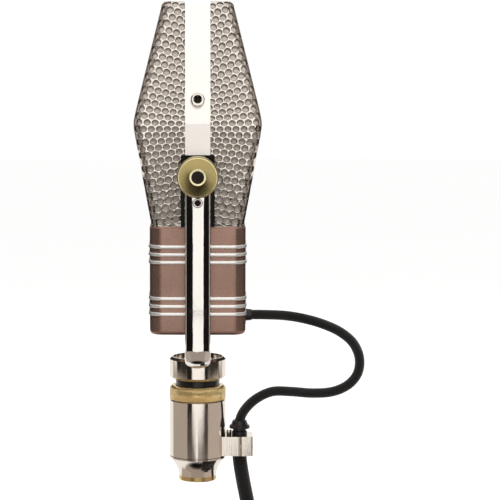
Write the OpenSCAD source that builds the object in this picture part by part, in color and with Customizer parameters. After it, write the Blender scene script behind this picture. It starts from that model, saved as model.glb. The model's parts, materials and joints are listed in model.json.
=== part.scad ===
// Long-ribbon studio microphone in a swivelling yoke, with its leads.
// The origin is the centre of the stand thread's mouth. The front faces -Y,
// the leads are at +Y, and the tilt axis lies along X.

/* [Head grille] */
// Height of the seam between the case and the grille
seam_z = 167; // [162:0.5:168]
// Height of the widest line of the grille
crease_z = 231.5; // [226:0.5:236]
// Height of the grille's flat top
grille_top_z = 306.8; // [300:0.2:312]
// Width of the grille at the seam
seam_w = 72; // [68:1:73]
// Depth of the grille at the seam
seam_d = 57.5; // [54:0.5:59]
// Width of the grille at its widest line
crease_w = 82; // [78:1:83]
// Depth of the grille at its widest line
crease_d = 79.5; // [74:0.5:86]
// Width that the upper taper reaches at the top
top_w = 56; // [48:1:60]
// Depth that the upper taper reaches at the top
top_d = 43.5; // [40:0.5:48]
// Radius of the grille's upright corners
grille_corner_r = 5; // [4:0.5:6]
// Radius of the grille's top edge
shoulder_r = 4; // [3:0.5:5]
// Thickness of the perforated sheet
sheet_t = 1.2; // [1:0.1:1.4]
// Thickness of the cloth behind the sheet
cloth_t = 0.6; // [0.5:0.1:0.8]

/* [Band and spines] */
// Width of the polished band over the head
band_w = 15.7; // [14:0.1:18]
// Height of the band's lower ends
band_end_z = 212; // [210:0.5:216]
// How far the band stands proud of the sheet
band_proud = 1; // [0.8:0.1:1.2]
// Height of the band's screws
band_screw_z = 246.5; // [240:0.5:256]
// Width of the black spines below the band
spine_w = 21; // [19:0.5:22]

/* [Lower case] */
// Width of the case
case_w = 76; // [72:1:78]
// Depth of the case
case_d = 60; // [58:0.5:62]
// Height of the case's bottom
case_bottom_z = 99; // [97:0.5:101]
// Radius of the case's upright corners
case_corner_r = 8.4; // [6:0.2:10]
// Radius of the case's lower edge
case_edge_r = 2.5; // [2:0.5:3]
// Thickness of the case's walls
case_wall = 2.2; // [2:0.1:2.4]
// Height of one trim band
trim_h = 2.2; // [1.8:0.1:2.4]
// Distance from one trim band to the next
trim_pitch = 4.9; // [4.4:0.1:5]
// How far the trim bands stand proud of the case
trim_proud = 0.7; // [0.5:0.1:0.8]

/* [Yoke] */
// Height of the tilt axis
pivot_z = 199.5; // [198:0.5:201]
// Width of the bent tube, along Y
yoke_w = 16; // [15:0.5:17]
// Thickness of the bent tube
yoke_t = 9; // [8.5:0.5:9.5]
// Distance between the arms' inner faces
yoke_gap = 85; // [85:0.5:88]
// Radius of the bends along the tube's centre
yoke_bend_r = 11; // [10:0.5:13]
// Height of the crossbar's underside
crossbar_z = 78.5; // [77:0.5:79]
// Diameter of the two clamping knobs
knob_d = 25.5; // [22:0.5:26]
// Thickness of the two clamping knobs
knob_t = 8.6; // [8:0.2:10]

/* [Stand mount] */
// Diameter of the shell, the collar and the lock ring
mount_d = 36; // [36:0.5:38]
// Height of the collar's underside
collar_z = 66; // [65.5:0.5:67]
// Height of the collar's top
collar_top_z = 80.2; // [80:0.1:81]
// Height of the shell's lower edge
shell_z = 15.9; // [15.5:0.1:16.5]
// Height of the shell's top face
shell_top_z = 52.4; // [51:0.2:53]
// Height of the lock ring
ring_h = 9; // [8:0.2:9.4]
// Diameter of the mount's mouth
mouth_d = 24; // [22:0.5:26]
// Radius of the stand thread's bore (5/8 inch, 27 to the inch)
thread_r = 7.43; // [7.4:0.01:7.6]
// Depth of the stand thread
thread_depth = 14; // [12:0.5:14]

/* [Leads] */
// Diameter of the lead from the head to the clamp
upper_lead_d = 6.2; // [5.6:0.1:6.2]
// Diameter of the lead below the clamp
lower_lead_d = 9.2; // [8:0.1:9.2]
// Distance of the lower lead from the mount's axis
lead_y = 27; // [27:0.1:27.5]
// Height at which the lead leaves the case
exit_z = 107; // [106.5:0.5:107.5]

/* [Hidden] */
$fn = 64;
hull_fn = 32;
touch = 0.02;

seam_half = [seam_w / 2, seam_d / 2];
crease_half = [crease_w / 2, crease_d / 2];
top_half = [top_w / 2, top_d / 2];
cloth_gap = 0.1;
plate_t = 3;
deck_t = 2.2;
magnet_z = seam_z + plate_t + 3;
foil_gap = 0.14;
ribbon_end_z = [197, 268.5];
wire_hole_y = 13;
wire_hole_r = 6;
cover_z = case_bottom_z + 0.6;
cover_t = 2.2;

arm_x = yoke_gap / 2 + yoke_t / 2;
arm_outer_x = yoke_gap / 2 + yoke_t;
crossbar_mid_z = crossbar_z + yoke_t / 2;
bend_x = arm_x - yoke_bend_r;
bend_z = crossbar_mid_z + yoke_bend_r;
tube_wall = 1.6;
hollow_top_z = pivot_z - 15;

bush_r = 5;
bush_flange_r = 8;
bush_inner_x = 26;
screw_r = 2.9;
fit = 0.06;
washer_t = 0.7;
bush_end_x = arm_outer_x + 0.5;
knob_x = arm_outer_x + washer_t + 0.2;
knob_face_x = knob_x + knob_t;

mount_r = mount_d / 2;
ring_z = shell_top_z + 0.2;
neck_r = 10;
neck_top_z = shell_top_z + 5.1;
cushion_r = 14;
shell_bore_r = 15.5;
shell_deck_t = 4;
spigot_top_z = 24;
groove_z = 19;
groove_h = 3.4;
stem_r = 6.5;
stem_z = 29;
bolt_r = 3.5;

trim_top_z = 154.6;
trim_lower_z = 122.1;
trim_sunk = 0.3;

clamp_z = 16.5;
clamp_h = 12.5;
clamp_w = 18;
clamp_seam_y = 27.4;
clamp_end_y = 35.5;
clamp_screw_x = 6.9;

upper_lead_route = [
    [0, 29, 107], [0, 43, 107], [0, 57, 106.3], [0, 70, 104], [0, 82, 100.3], [0, 92, 95.5],
    [0, 100, 88.5], [0, 104, 79], [0, 103, 69], [0, 97, 61.5], [0, 87, 57], [0, 74, 56],
    [0, 60, 57], [0, 48, 57], [0, 38, 52.5], [0, 31, 46], [0, 27.3, 39], [0, 27, 31.5]
];
lower_lead_route = [
    [0, 27, 29], [0, 27, 15], [0, 28.8, 2], [0, 31.5, -12], [2, 34, -26], [7, 34.6, -38.5]
];
coil_z = -104;
coil_y = 43.8;
coil_r = 50;
coil_side = 3 * lower_lead_d;
lead_tail_route = [
    [0, 62, -63], [21, 64, -67], [40, 66.5, -81], [49, 68, -96], [50, 68, -112]
];
plug_x = 50;
plug_y = 68;
plug_top_z = -108;

// Half width and half depth of the head's sheet at height z
function head_half(z) = z < crease_z
    ? seam_half + (crease_half - seam_half) * (z - seam_z) / (crease_z - seam_z)
    : crease_half + (top_half - crease_half) * (z - crease_z) / (grille_top_z - crease_z);

// Right half of the head's outline, grown by g, from height z0 up and over the shoulder
function head_side(axis, g, z0) = concat(
    [[head_half(z0)[axis] + g, z0], [crease_half[axis] + g, crease_z]],
    [for (a = [0 : 15 : 90]) [
        head_half(grille_top_z - shoulder_r)[axis] - shoulder_r + (shoulder_r + g) * cos(a),
        grille_top_z - shoulder_r + (shoulder_r + g) * sin(a)
    ]]
);

// The whole outline: the right half, then its mirror image downwards
function head_outline(axis, g, z0) = let (side = head_side(axis, g, z0)) concat(
    side, [for (i = [len(side) - 1 : -1 : 0]) [-side[i][0], side[i][1]]]
);

function unit(v) = v / norm(v);

// Direction of a route at its point i
function route_way(route, i) = unit(
    route[min(i + 1, len(route) - 1)] - route[max(i - 1, 0)]
);

module rounded_rect(w, d, r) {
    square([w - 2 * r, d], center = true);
    square([w, d - 2 * r], center = true);
    for (x = [-1, 1], y = [-1, 1])
        translate([x * (w / 2 - r), y * (d / 2 - r)])
            circle(r);
}

// A closed tube along a route; side is a direction that the route never runs along
module tube(route, d, sides, side) {
    rings = [for (i = [0 : len(route) - 1])
        let (way = route_way(route, i), u = unit(cross(way, side)), v = cross(way, u))
        for (k = [0 : sides - 1]) route[i] + d / 2 * (cos(360 * k / sides) * u
            + sin(360 * k / sides) * v)];
    last = len(route) - 1;
    faces = concat(
        [[for (k = [0 : sides - 1]) k]],
        [for (i = [0 : last - 1], k = [0 : sides - 1]) [
            i * sides + k, (i + 1) * sides + k,
            (i + 1) * sides + (k + 1) % sides, i * sides + (k + 1) % sides
        ]],
        [[for (k = [sides - 1 : -1 : 0]) last * sides + k]]
    );
    polyhedron(rings, faces);
}

// Cylinder along X from x0 to x1, on the tilt axis
module on_pivot(x0, x1, r) {
    translate([x0, 0, pivot_z])
        rotate([0, 90, 0])
            cylinder(h = x1 - x0, r = r);
}

// Cylinder along Y from y0 to y1
module along_y(x, y0, y1, z, r) {
    translate([x, y0, z])
        rotate([-90, 0, 0])
            cylinder(h = y1 - y0, r = r);
}

// Countersunk screw that points down from z = 0
module countersunk(head_r, shank_r, length) {
    head_h = head_r - shank_r;
    translate([0, 0, -head_h])
        cylinder(h = head_h, r1 = shank_r, r2 = head_r);
    translate([0, 0, -length])
        cylinder(h = length - head_h, r = shank_r);
}

module cross_slot(size, w, depth) {
    for (a = [0, 90])
        rotate(a)
            translate([0, 0, -depth / 2])
                cube([size, w, depth + touch], center = true);
}

// ---- Head shapes ----

module head_level(half, z) {
    r = grille_corner_r;
    translate([0, 0, z])
        linear_extrude(touch)
            rounded_rect(2 * half[0], 2 * half[1], r, $fn = hull_fn);
}

// The head grown by g (inwards if negative), from height z0 to its rounded top
module head_solid(g, z0) {
    shoulder_z = grille_top_z - shoulder_r;
    hull() {
        head_level(head_half(z0) + [g, g], z0);
        head_level(crease_half + [g, g], crease_z);
        for (a = [0 : 22.5 : 90])
            head_level(
                head_half(shoulder_z) + [g, g] - shoulder_r * (1 - cos(a)) * [1, 1],
                shoulder_z + g + shoulder_r * sin(a) - touch
            );
    }
}

// Everything on one side of the head's middle plane, 0.4 mm clear of it
module front_half() {
    translate([-100, -100.2, seam_z])
        cube([200, 100, 200]);
}

module grille_sheet() {
    difference() {
        head_solid(0, seam_z);
        head_solid(-sheet_t, seam_z - 1);
        on_pivot(-60, 60, bush_r);
    }
}

module cloth_bag() {
    outer = -sheet_t - cloth_gap;
    difference() {
        head_solid(outer, seam_z);
        head_solid(outer - cloth_t, seam_z - 1);
        on_pivot(-60, 60, bush_r);
    }
}

module grille_front() {
    color([0.78, 0.76, 0.73])
        intersection() {
            grille_sheet();
            front_half();
        }
}

module grille_rear() {
    color([0.78, 0.76, 0.73])
        intersection() {
            grille_sheet();
            mirror([0, 1, 0]) front_half();
        }
}

module cloth_front() {
    color([0.66, 0.62, 0.58])
        intersection() {
            cloth_bag();
            front_half();
        }
}

module cloth_rear() {
    color([0.66, 0.62, 0.58])
        intersection() {
            cloth_bag();
            mirror([0, 1, 0]) front_half();
        }
}

// A strip of width w that follows the head's front outline, from inner to outer growth
module outline_strip(w, inner, outer, z0) {
    rotate([90, 0, 0])
        linear_extrude(w, center = true)
            difference() {
                polygon(head_outline(0, outer, z0));
                polygon(head_outline(0, inner, z0 - 1));
            }
}

module band_screw_places() {
    slope = atan((crease_w - top_w) / 2 / (grille_top_z - crease_z));
    for (s = [0, 1])
        mirror([s, 0, 0])
            translate([head_half(band_screw_z)[0] + band_proud, 0, band_screw_z])
                rotate([0, 90 - slope, 0])
                    children();
}

module centre_band() {
    color([0.85, 0.84, 0.82])
        difference() {
            outline_strip(band_w, touch, band_proud, band_end_z);
            band_screw_places() translate([0, 0, -3]) cylinder(h = 4, r = 2.2);
        }
}

module band_screws() {
    head_r = 4.3;
    head_h = 1;
    chamfer = 0.6;
    color([0.8, 0.78, 0.74])
        band_screw_places()
            difference() {
                union() {
                    cylinder(h = head_h - chamfer, r = head_r);
                    translate([0, 0, head_h - chamfer])
                        cylinder(h = chamfer, r1 = head_r, r2 = head_r - chamfer);
                    translate([0, 0, -0.9]) cylinder(h = 0.9 + touch, r = 2.15);
                }
                translate([0, 0, head_h]) cross_slot(5.2, 1.2, 1.4);
                translate([0, 0, head_h - 1.3]) cylinder(h = 1.3 + touch, r1 = 0.9, r2 = 1.7);
            }
}

module spine_both() {
    difference() {
        outline_strip(spine_w, touch, 1.2, seam_z + 0.1);
        translate([0, 0, band_end_z - 0.2 + 100]) cube([200, 200, 200], center = true);
        for (s = [-1, 1]) on_pivot(s * 45 - 5.2, s * 45 + 5.2, bush_flange_r);
        on_pivot(-60, 60, bush_r);
    }
}

module spine_left() {
    color([0.03, 0.03, 0.035])
        intersection() {
            spine_both();
            translate([-200, -50, 0]) cube([200, 100, 400]);
        }
}

module spine_right() {
    color([0.03, 0.03, 0.035])
        intersection() {
            spine_both();
            translate([0, -50, 0]) cube([200, 100, 400]);
        }
}

// ---- Pivot ----

module pivot_bushes() {
    flange_end_x = yoke_gap / 2 - 0.3;
    color([0.72, 0.6, 0.35])
        for (s = [0, 1])
            mirror([s, 0, 0])
                difference() {
                    union() {
                        on_pivot(bush_inner_x, bush_end_x, bush_r);
                        on_pivot(39.8, flange_end_x, bush_flange_r);
                        on_pivot(28, 31, 7.5);
                    }
                    on_pivot(bush_inner_x - 1, bush_end_x + 1, screw_r + fit);
                }
}

module side_brackets() {
    color([0.6, 0.6, 0.6])
        for (s = [0, 1])
            mirror([s, 0, 0])
                difference() {
                    union() {
                        translate([31, -12, seam_z + plate_t]) cube([2, 24, 42]);
                        translate([24, -12, seam_z + plate_t]) cube([9, 24, 2]);
                    }
                    on_pivot(30, 35, bush_r);
                }
}

module arm_washers() {
    color([0.12, 0.1, 0.09])
        for (s = [0, 1])
            mirror([s, 0, 0])
                difference() {
                    on_pivot(arm_outer_x, arm_outer_x + washer_t, 8);
                    on_pivot(arm_outer_x - 1, arm_outer_x + washer_t + 1, bush_r + fit);
                }
}

// Knob on the right-hand side; the left one is its mirror image
module knob() {
    r = knob_d / 2;
    face_chamfer = 1.1;
    back_chamfer = 0.5;
    recess_r = 3.8;
    recess_depth = 4.4;
    translate([knob_x, 0, pivot_z])
        rotate([0, 90, 0])
            rotate_extrude($fn = 128)
                polygon([
                    [screw_r, 0], [r - back_chamfer, 0], [r, back_chamfer],
                    [r, knob_t - face_chamfer], [r - face_chamfer, knob_t],
                    [recess_r + 1.2, knob_t], [recess_r, knob_t - 1.2],
                    [recess_r, knob_t - recess_depth], [screw_r, knob_t - recess_depth]
                ]);
}

// Screw on the right-hand side, with a six-sided socket
module pivot_screw() {
    seat_x = knob_face_x - 4.4;
    difference() {
        union() {
            on_pivot(34, seat_x, screw_r);
            on_pivot(seat_x, seat_x + 2.6, 3.7);
        }
        translate([seat_x + 1, 0, pivot_z])
            rotate([0, 90, 0])
                cylinder(h = 2, r = 2.2, $fn = 6);
    }
}

module knob_right() {
    color([0.78, 0.66, 0.36]) knob();
}

module knob_left() {
    color([0.78, 0.66, 0.36]) mirror([1, 0, 0]) knob();
}

module pivot_screw_right() {
    color([0.2, 0.19, 0.18]) pivot_screw();
}

module pivot_screw_left() {
    color([0.2, 0.19, 0.18]) mirror([1, 0, 0]) pivot_screw();
}

// ---- Yoke ----

// The bent tube's outline, shrunk by the given amount; the arms end at top_z
module yoke_bar(shrink, top_z) {
    w = yoke_w - 2 * shrink;
    t = yoke_t - 2 * shrink;
    for (s = [0, 1])
        mirror([s, 0, 0]) {
            translate([arm_x, 0, bend_z])
                linear_extrude(top_z - bend_z)
                    rounded_rect(t, w, t / 2 - 0.05);
            translate([bend_x, 0, bend_z])
                rotate([90, 0, 0])
                    rotate_extrude(angle = 90, start = -90)
                        translate([yoke_bend_r, 0])
                            rounded_rect(t, w, t / 2 - 0.05);
        }
    translate([-bend_x, 0, crossbar_mid_z])
        rotate([0, 90, 0])
            linear_extrude(2 * bend_x)
                rounded_rect(t, w, t / 2 - 0.05);
}

module yoke_tube() {
    end_r = yoke_w / 2;
    color([0.82, 0.81, 0.79])
        difference() {
            union() {
                yoke_bar(0, pivot_z);
                for (s = [0, 1])
                    mirror([s, 0, 0]) on_pivot(yoke_gap / 2, arm_outer_x, end_r);
            }
            yoke_bar(tube_wall, hollow_top_z);
            for (s = [0, 1])
                mirror([s, 0, 0]) on_pivot(yoke_gap / 2 - 1, arm_outer_x + 1, bush_r + fit);
            translate([0, 0, crossbar_z - 1]) cylinder(h = yoke_t + 2, r = bolt_r + fit);
            translate([0, 0, crossbar_z + yoke_t - 2.5]) cylinder(h = 3, r1 = bolt_r + fit, r2 = 6.6);
        }
}

module yoke_bolt() {
    color([0.3, 0.3, 0.3])
        difference() {
            translate([0, 0, crossbar_z + yoke_t])
                countersunk(bolt_r + 2.5, bolt_r, crossbar_z + yoke_t - collar_z + 20);
            translate([0, 0, crossbar_z + yoke_t]) cube([1.4, 14, 2.4], center = true);
        }
}

module yoke_collar() {
    cup_r = mount_r - 2.2;
    cup_z = crossbar_z - 2.5;
    boss_r = 9;
    color([0.8, 0.78, 0.75])
        difference() {
            rotate_extrude($fn = 128)
                polygon([
                    [bolt_r + fit, collar_z], [mount_r - 1.8, collar_z],
                    [mount_r, collar_z + 1.6], [mount_r, collar_top_z - 1.6],
                    [mount_r - 1.6, collar_top_z], [cup_r, collar_top_z], [cup_r, cup_z],
                    [boss_r, cup_z], [boss_r, crossbar_z], [bolt_r + fit, crossbar_z]
                ]);
            yoke_bar(0, pivot_z);
        }
}

// ---- Stand mount ----

module neck_cushion() {
    color([0.03, 0.03, 0.03])
        rotate_extrude($fn = 128)
            polygon([
                [stem_r, neck_top_z], [cushion_r - 0.6, neck_top_z], [cushion_r, neck_top_z + 0.6],
                [cushion_r, collar_z - 0.6], [cushion_r - 0.6, collar_z], [stem_r, collar_z]
            ]);
}

module stem() {
    color([0.75, 0.74, 0.72])
        difference() {
            translate([0, 0, stem_z]) cylinder(h = collar_z - stem_z, r = stem_r);
            translate([0, 0, collar_z - 20]) cylinder(h = 21, r = bolt_r);
        }
}

module lock_ring() {
    top_z = ring_z + ring_h;
    recess_z = neck_top_z - 0.3;
    color([0.86, 0.7, 0.42])
        rotate_extrude($fn = 128)
            polygon([
                [neck_r + fit, ring_z], [mount_r - 0.4, ring_z], [mount_r, ring_z + 0.4],
                [mount_r, top_z - 0.9], [mount_r - 1.2, top_z], [cushion_r + 0.3, top_z],
                [cushion_r + 0.3, recess_z], [neck_r + fit, recess_z]
            ]);
}

module mount_shell() {
    ceiling_z = shell_top_z - shell_deck_t;
    color([0.8, 0.78, 0.75])
        difference() {
            rotate_extrude($fn = 128)
                polygon([
                    [shell_bore_r, shell_z], [mount_r - 0.3, shell_z], [mount_r, shell_z + 0.3],
                    [mount_r, shell_top_z - 0.4], [mount_r - 0.4, shell_top_z],
                    [neck_r, shell_top_z], [neck_r, neck_top_z], [stem_r + 0.5, neck_top_z],
                    [stem_r + 0.5, ceiling_z], [shell_bore_r, ceiling_z]
                ]);
            swivel_screw_places() cylinder(h = 10, r = 1.5);
        }
}

// The two screws' outer ends, each pointing at the mount's axis
module swivel_screw_places() {
    for (a = [0, 180])
        rotate(a)
            translate([mount_r - 0.2, 0, groove_z + groove_h / 2])
                rotate([0, -90, 0])
                    children();
}

module swivel_screws() {
    color([0.25, 0.25, 0.25])
        swivel_screw_places()
            difference() {
                cylinder(h = 3.2, r = 1.5);
                cylinder(h = 2, r = 0.8, $fn = 6, center = true);
            }
}

module isolation_cushion() {
    z0 = stem_z + 9;
    color([0.05, 0.05, 0.05])
        rotate_extrude()
            polygon([
                [stem_r, z0], [shell_bore_r, z0], [shell_bore_r - 1.5, z0 + 4],
                [shell_bore_r, shell_top_z - shell_deck_t], [stem_r, shell_top_z - shell_deck_t]
            ]);
}

module stem_washer() {
    color([0.6, 0.6, 0.6])
        difference() {
            translate([0, 0, stem_z + 7]) cylinder(h = 2, r = 13);
            translate([0, 0, stem_z + 6]) cylinder(h = 4, r = stem_r);
        }
}

module stem_nut() {
    color([0.6, 0.6, 0.6])
        difference() {
            translate([0, 0, stem_z + 1.5]) cylinder(h = 5.5, r = 11, $fn = 6);
            translate([0, 0, stem_z]) cylinder(h = 8, r = stem_r);
        }
}

module stand_socket() {
    spigot_r = shell_bore_r - fit;
    cone_top_z = shell_z - 0.2;
    insert_r = 10;
    cone_z = 3;
    cone = [for (s = [0 : 0.1 : 1]) [
        mouth_d / 2 + (mount_r - mouth_d / 2) * pow(s, 1.8), cone_z + (cone_top_z - 1 - cone_z) * s
    ]];
    color([0.8, 0.78, 0.75])
        rotate_extrude($fn = 128)
            polygon(concat(
                [[0, thread_depth], [insert_r, thread_depth], [insert_r, cone_z]], cone,
                [
                    [mount_r, cone_top_z], [spigot_r, cone_top_z], [spigot_r, groove_z],
                    [spigot_r - 1.2, groove_z], [spigot_r - 1.2, groove_z + groove_h],
                    [spigot_r, groove_z + groove_h], [spigot_r, spigot_top_z], [0, spigot_top_z]
                ]
            ));
}

module thread_insert() {
    color([0.8, 0.7, 0.48])
        rotate_extrude($fn = 128)
            polygon([
                [thread_r, 0], [mouth_d / 2 - 0.4, 0], [mouth_d / 2, 0.4], [mouth_d / 2, 3],
                [10, 3], [10, thread_depth], [thread_r, thread_depth]
            ]);
}

// ---- Cable clamp ----

module clamp_blank(y0, y1) {
    translate([0, (y0 + y1) / 2, clamp_z])
        linear_extrude(clamp_h)
            rounded_rect(clamp_w, y1 - y0, 1.2);
}

module clamp_body() {
    color([0.78, 0.76, 0.74])
        difference() {
            clamp_blank(12, clamp_seam_y);
            cylinder(h = 60, r = mount_r, $fn = 128);
            translate([0, lead_y, 0]) cylinder(h = 60, r = lower_lead_d / 2 + 0.05);
            for (x = [-1, 1]) along_y(x * clamp_screw_x, 20, 40, clamp_z + clamp_h / 2, 1.5);
            translate([0, 20.2, clamp_z + 4]) cylinder(h = 20, r = 1);
        }
}

module clamp_cap() {
    color([0.78, 0.76, 0.74])
        difference() {
            clamp_blank(clamp_seam_y, clamp_end_y);
            translate([0, lead_y, 0]) cylinder(h = 60, r = lower_lead_d / 2 + 0.05);
            for (x = [-1, 1]) {
                along_y(x * clamp_screw_x, 20, 40, clamp_z + clamp_h / 2, 1.5);
                along_y(x * clamp_screw_x, clamp_end_y - 1.8, 40, clamp_z + clamp_h / 2, 2);
            }
        }
}

// Two screws through the cap, and the one that holds the grommet's plate down
module clamp_screws() {
    z = clamp_z + clamp_h / 2;
    top_z = clamp_z + clamp_h;
    color([0.85, 0.85, 0.84]) {
        for (x = [-1, 1])
            difference() {
                union() {
                    along_y(x * clamp_screw_x, 20, clamp_end_y - 1.8, z, 1.5);
                    along_y(x * clamp_screw_x, clamp_end_y - 1.8, clamp_end_y, z, 2);
                }
                translate([x * clamp_screw_x, clamp_end_y, z]) cube([5, 1.4, 0.6], center = true);
            }
        difference() {
            union() {
                translate([0, 20.2, clamp_z + 4]) cylinder(h = clamp_h - 4, r = 1);
                translate([0, 20.2, top_z]) cylinder(h = 3.2, r = 1.7);
            }
            translate([0, 20.2, top_z + 3.2]) cube([5, 0.6, 1.6], center = true);
        }
    }
}

module clamp_grommet() {
    z0 = clamp_z + clamp_h;
    bore_r = upper_lead_d / 2 + 0.15;
    color([0.03, 0.03, 0.03])
        translate([0, lead_y, z0])
            rotate_extrude()
                polygon([
                    [bore_r, 0], [4.9, 0], [4.9, 2.2], [4.2, 2.8], [4.2, 3.8], [6.6, 4.4],
                    [6.6, 6], [5.4, 6.8], [4.5, 9.4], [bore_r + 0.4, 9.4]
                ]);
}

// ---- Ribbon motor ----

module frame_plate() {
    color([0.5, 0.5, 0.5])
        difference() {
            translate([0, 0, seam_z])
                linear_extrude(plate_t)
                    rounded_rect(seam_w - 6, seam_d - 6, 4);
            translate([0, wire_hole_y, seam_z - 1]) cylinder(h = plate_t + 2, r = wire_hole_r);
            magnet_bolt_places() cylinder(h = 30, r = 2.5, center = true);
        }
}

module magnet() {
    arm_top_z = 268;
    color([0.35, 0.36, 0.38])
        difference() {
            rotate([90, 0, 0])
                linear_extrude(20, center = true)
                    difference() {
                        translate([-26, magnet_z]) square([52, arm_top_z - magnet_z]);
                        translate([-13, magnet_z + 20]) square([26, 100]);
                    }
            magnet_bolt_places() cylinder(h = 30, r = 2.5, center = true);
        }
}

module magnet_bolt_places() {
    for (x = [-18, 18])
        translate([x, 0, seam_z])
            children();
}

module magnet_cushions() {
    color([0.06, 0.06, 0.06])
        difference() {
            for (x = [-18, 18])
                translate([x, 0, seam_z + plate_t]) cylinder(h = 3, r = 5.5);
            magnet_bolt_places() cylinder(h = 30, r = 2.5, center = true);
        }
}

module magnet_bolts() {
    color([0.7, 0.7, 0.68])
        magnet_bolt_places() {
            translate([0, 0, -deck_t]) cylinder(h = 15 + deck_t, r = 2.5);
            translate([0, 0, -deck_t - 3]) cylinder(h = 3, r = 4.4);
        }
}

module pole() {
    translate([0, 0, 206])
        linear_extrude(60)
            polygon([[2.8, -1.4], [13, -9], [13, 9], [2.8, 1.4]]);
}

module pole_right() {
    color([0.62, 0.62, 0.64]) pole();
}

module pole_left() {
    color([0.62, 0.62, 0.64]) mirror([1, 0, 0]) pole();
}

// Corrugated foil with flat ends between its clamps
module ribbon() {
    foil_t = 0.12;
    fold_h = 0.5;
    z0 = 204.4;
    pitch = 2.2;
    folds = 28;
    face = concat(
        [[0, z0 - 8]],
        [for (i = [0 : 2 * folds]) [i % 2 == 0 ? 0 : fold_h, z0 + i * pitch / 2]],
        [[0, z0 + folds * pitch + 8]]
    );
    back = [for (i = [len(face) - 1 : -1 : 0]) face[i] + [foil_t, 0]];
    color([0.9, 0.9, 0.9])
        rotate([90, 0, 90])
            linear_extrude(4.8, center = true)
                polygon(concat(face, back));
}

module ribbon_clamps() {
    color([0.8, 0.68, 0.4])
        difference() {
            for (z = ribbon_end_z)
                for (y = [-2.6, foil_gap])
                    translate([-7, y, z]) cube([14, 2.6 - 0.02, 5]);
            ribbon_screw_places();
        }
}

module ribbon_screw_places() {
    for (x = [-5, 5], z = ribbon_end_z)
        along_y(x, -6, 8, z + 2.5, 1);
}

module ribbon_clamp_screws() {
    color([0.85, 0.8, 0.7])
        for (x = [-5, 5], z = ribbon_end_z) {
            along_y(x, -2.6, 8, z + 2.5, 1);
            along_y(x, -4.2, -2.62, z + 2.5, 1.9);
        }
}

module ribbon_insulators() {
    color([0.35, 0.16, 0.08])
        difference() {
            for (z = ribbon_end_z)
                translate([-13, foil_gap + 2.6, z - 0.5]) cube([26, 5.6, 6]);
            ribbon_screw_places();
        }
}

module ribbon_wires() {
    top_z = ribbon_end_z[1] + 2.5;
    low_z = ribbon_end_z[0] + 2.5;
    foot_z = seam_z - 14;
    wire_d = 1.2;
    color([0.75, 0.45, 0.25]) {
        tube([
            [5, 9, top_z], [8, 12, top_z - 4], [9, 13, 230], [9, 13, 186], [4, 13, 174],
            [3, 12, 163], [3, 8, 157], [3, 7, foot_z]
        ], wire_d, 8, [1, 0.2, 0]);
        tube([
            [-5, 9, low_z], [-6, 12, low_z - 4], [-6, 13, 182], [-4, 13, 174], [-3, 12, 163],
            [-3, 8, 157], [-3, 7, foot_z]
        ], wire_d, 8, [1, 0.2, 0]);
    }
}

// ---- Lower case ----

module case_blank() {
    hull() {
        for (a = [0 : 22.5 : 90])
            translate([0, 0, case_bottom_z + case_edge_r * (1 - cos(a))])
                linear_extrude(touch)
                    case_section(case_edge_r * (1 - sin(a)));
        translate([0, 0, seam_z - 1]) linear_extrude(touch) case_section(0);
        translate([0, 0, seam_z - touch]) linear_extrude(touch) case_section(1);
    }
}

module case_section(inset) {
    rounded_rect(case_w - 2 * inset, case_d - 2 * inset, case_corner_r - inset, $fn = 48);
}

module trim_ring(z, grow, sunk) {
    translate([0, 0, z - trim_h / 2])
        linear_extrude(trim_h)
            difference() {
                rounded_rect(case_w + 2 * grow, case_d + 2 * grow, case_corner_r + grow);
                rounded_rect(case_w - 2 * sunk, case_d - 2 * sunk, case_corner_r - sunk);
            }
}

module lower_case() {
    inner_w = case_w - 2 * case_wall;
    inner_d = case_d - 2 * case_wall;
    color([0.5, 0.41, 0.37])
        difference() {
            case_blank();
            translate([0, 0, case_bottom_z - 1])
                linear_extrude(seam_z - deck_t - case_bottom_z + 1)
                    rounded_rect(inner_w, inner_d, case_corner_r - case_wall);
            for (top = [trim_top_z, trim_lower_z], i = [0 : 2])
                trim_ring(top - i * trim_pitch, 2, trim_sunk);
            translate([0, wire_hole_y, seam_z - 5]) cylinder(h = 10, r = wire_hole_r);
            magnet_bolt_places() cylinder(h = 10, r = 2.5, center = true);
            along_y(0, 20, 40, exit_z, 4.6);
        }
}

module trim_group(top) {
    color([0.85, 0.84, 0.82])
        difference() {
            for (i = [0 : 2])
                trim_ring(top - i * trim_pitch, trim_proud, trim_sunk);
            along_y(0, 20, 40, exit_z, 6.6);
        }
}

module trim_bands_upper() {
    trim_group(trim_top_z);
}

module trim_bands_lower() {
    trim_group(trim_lower_z);
}

module cover_screw_places() {
    for (x = [-1, 1], y = [-1, 1])
        translate([x * (case_w / 2 - 10), y * (case_d / 2 - 10), cover_z])
            mirror([0, 0, 1])
                children();
}

module bottom_cover() {
    margin = case_wall + 0.05;
    color([0.46, 0.38, 0.34])
        difference() {
            translate([0, 0, cover_z])
                linear_extrude(cover_t)
                    rounded_rect(case_w - 2 * margin, case_d - 2 * margin, case_corner_r - margin);
            cover_screw_places() {
                countersunk(3.2, 1.8, 3);
                cylinder(h = 1, r = 3.2);
            }
        }
}

module bottom_screws() {
    color([0.7, 0.68, 0.64])
        cover_screw_places()
            difference() {
                countersunk(3.2, 1.8, 8);
                cube([8, 0.8, 1.6], center = true);
            }
}

module transformer_core() {
    color([0.4, 0.38, 0.36])
        difference() {
            translate([-20, -14, 112]) cube([40, 22, 34]);
            for (x = [-1, 1]) translate([x * 10 - 3.5, -30, 118]) cube([7, 60, 22]);
        }
}

module transformer_coil() {
    color([0.75, 0.5, 0.2])
        difference() {
            translate([-13.4, -18, 118.1]) cube([26.8, 30, 21.8]);
            translate([-6.5, -14, 110]) cube([13, 22, 50]);
        }
}

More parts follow.
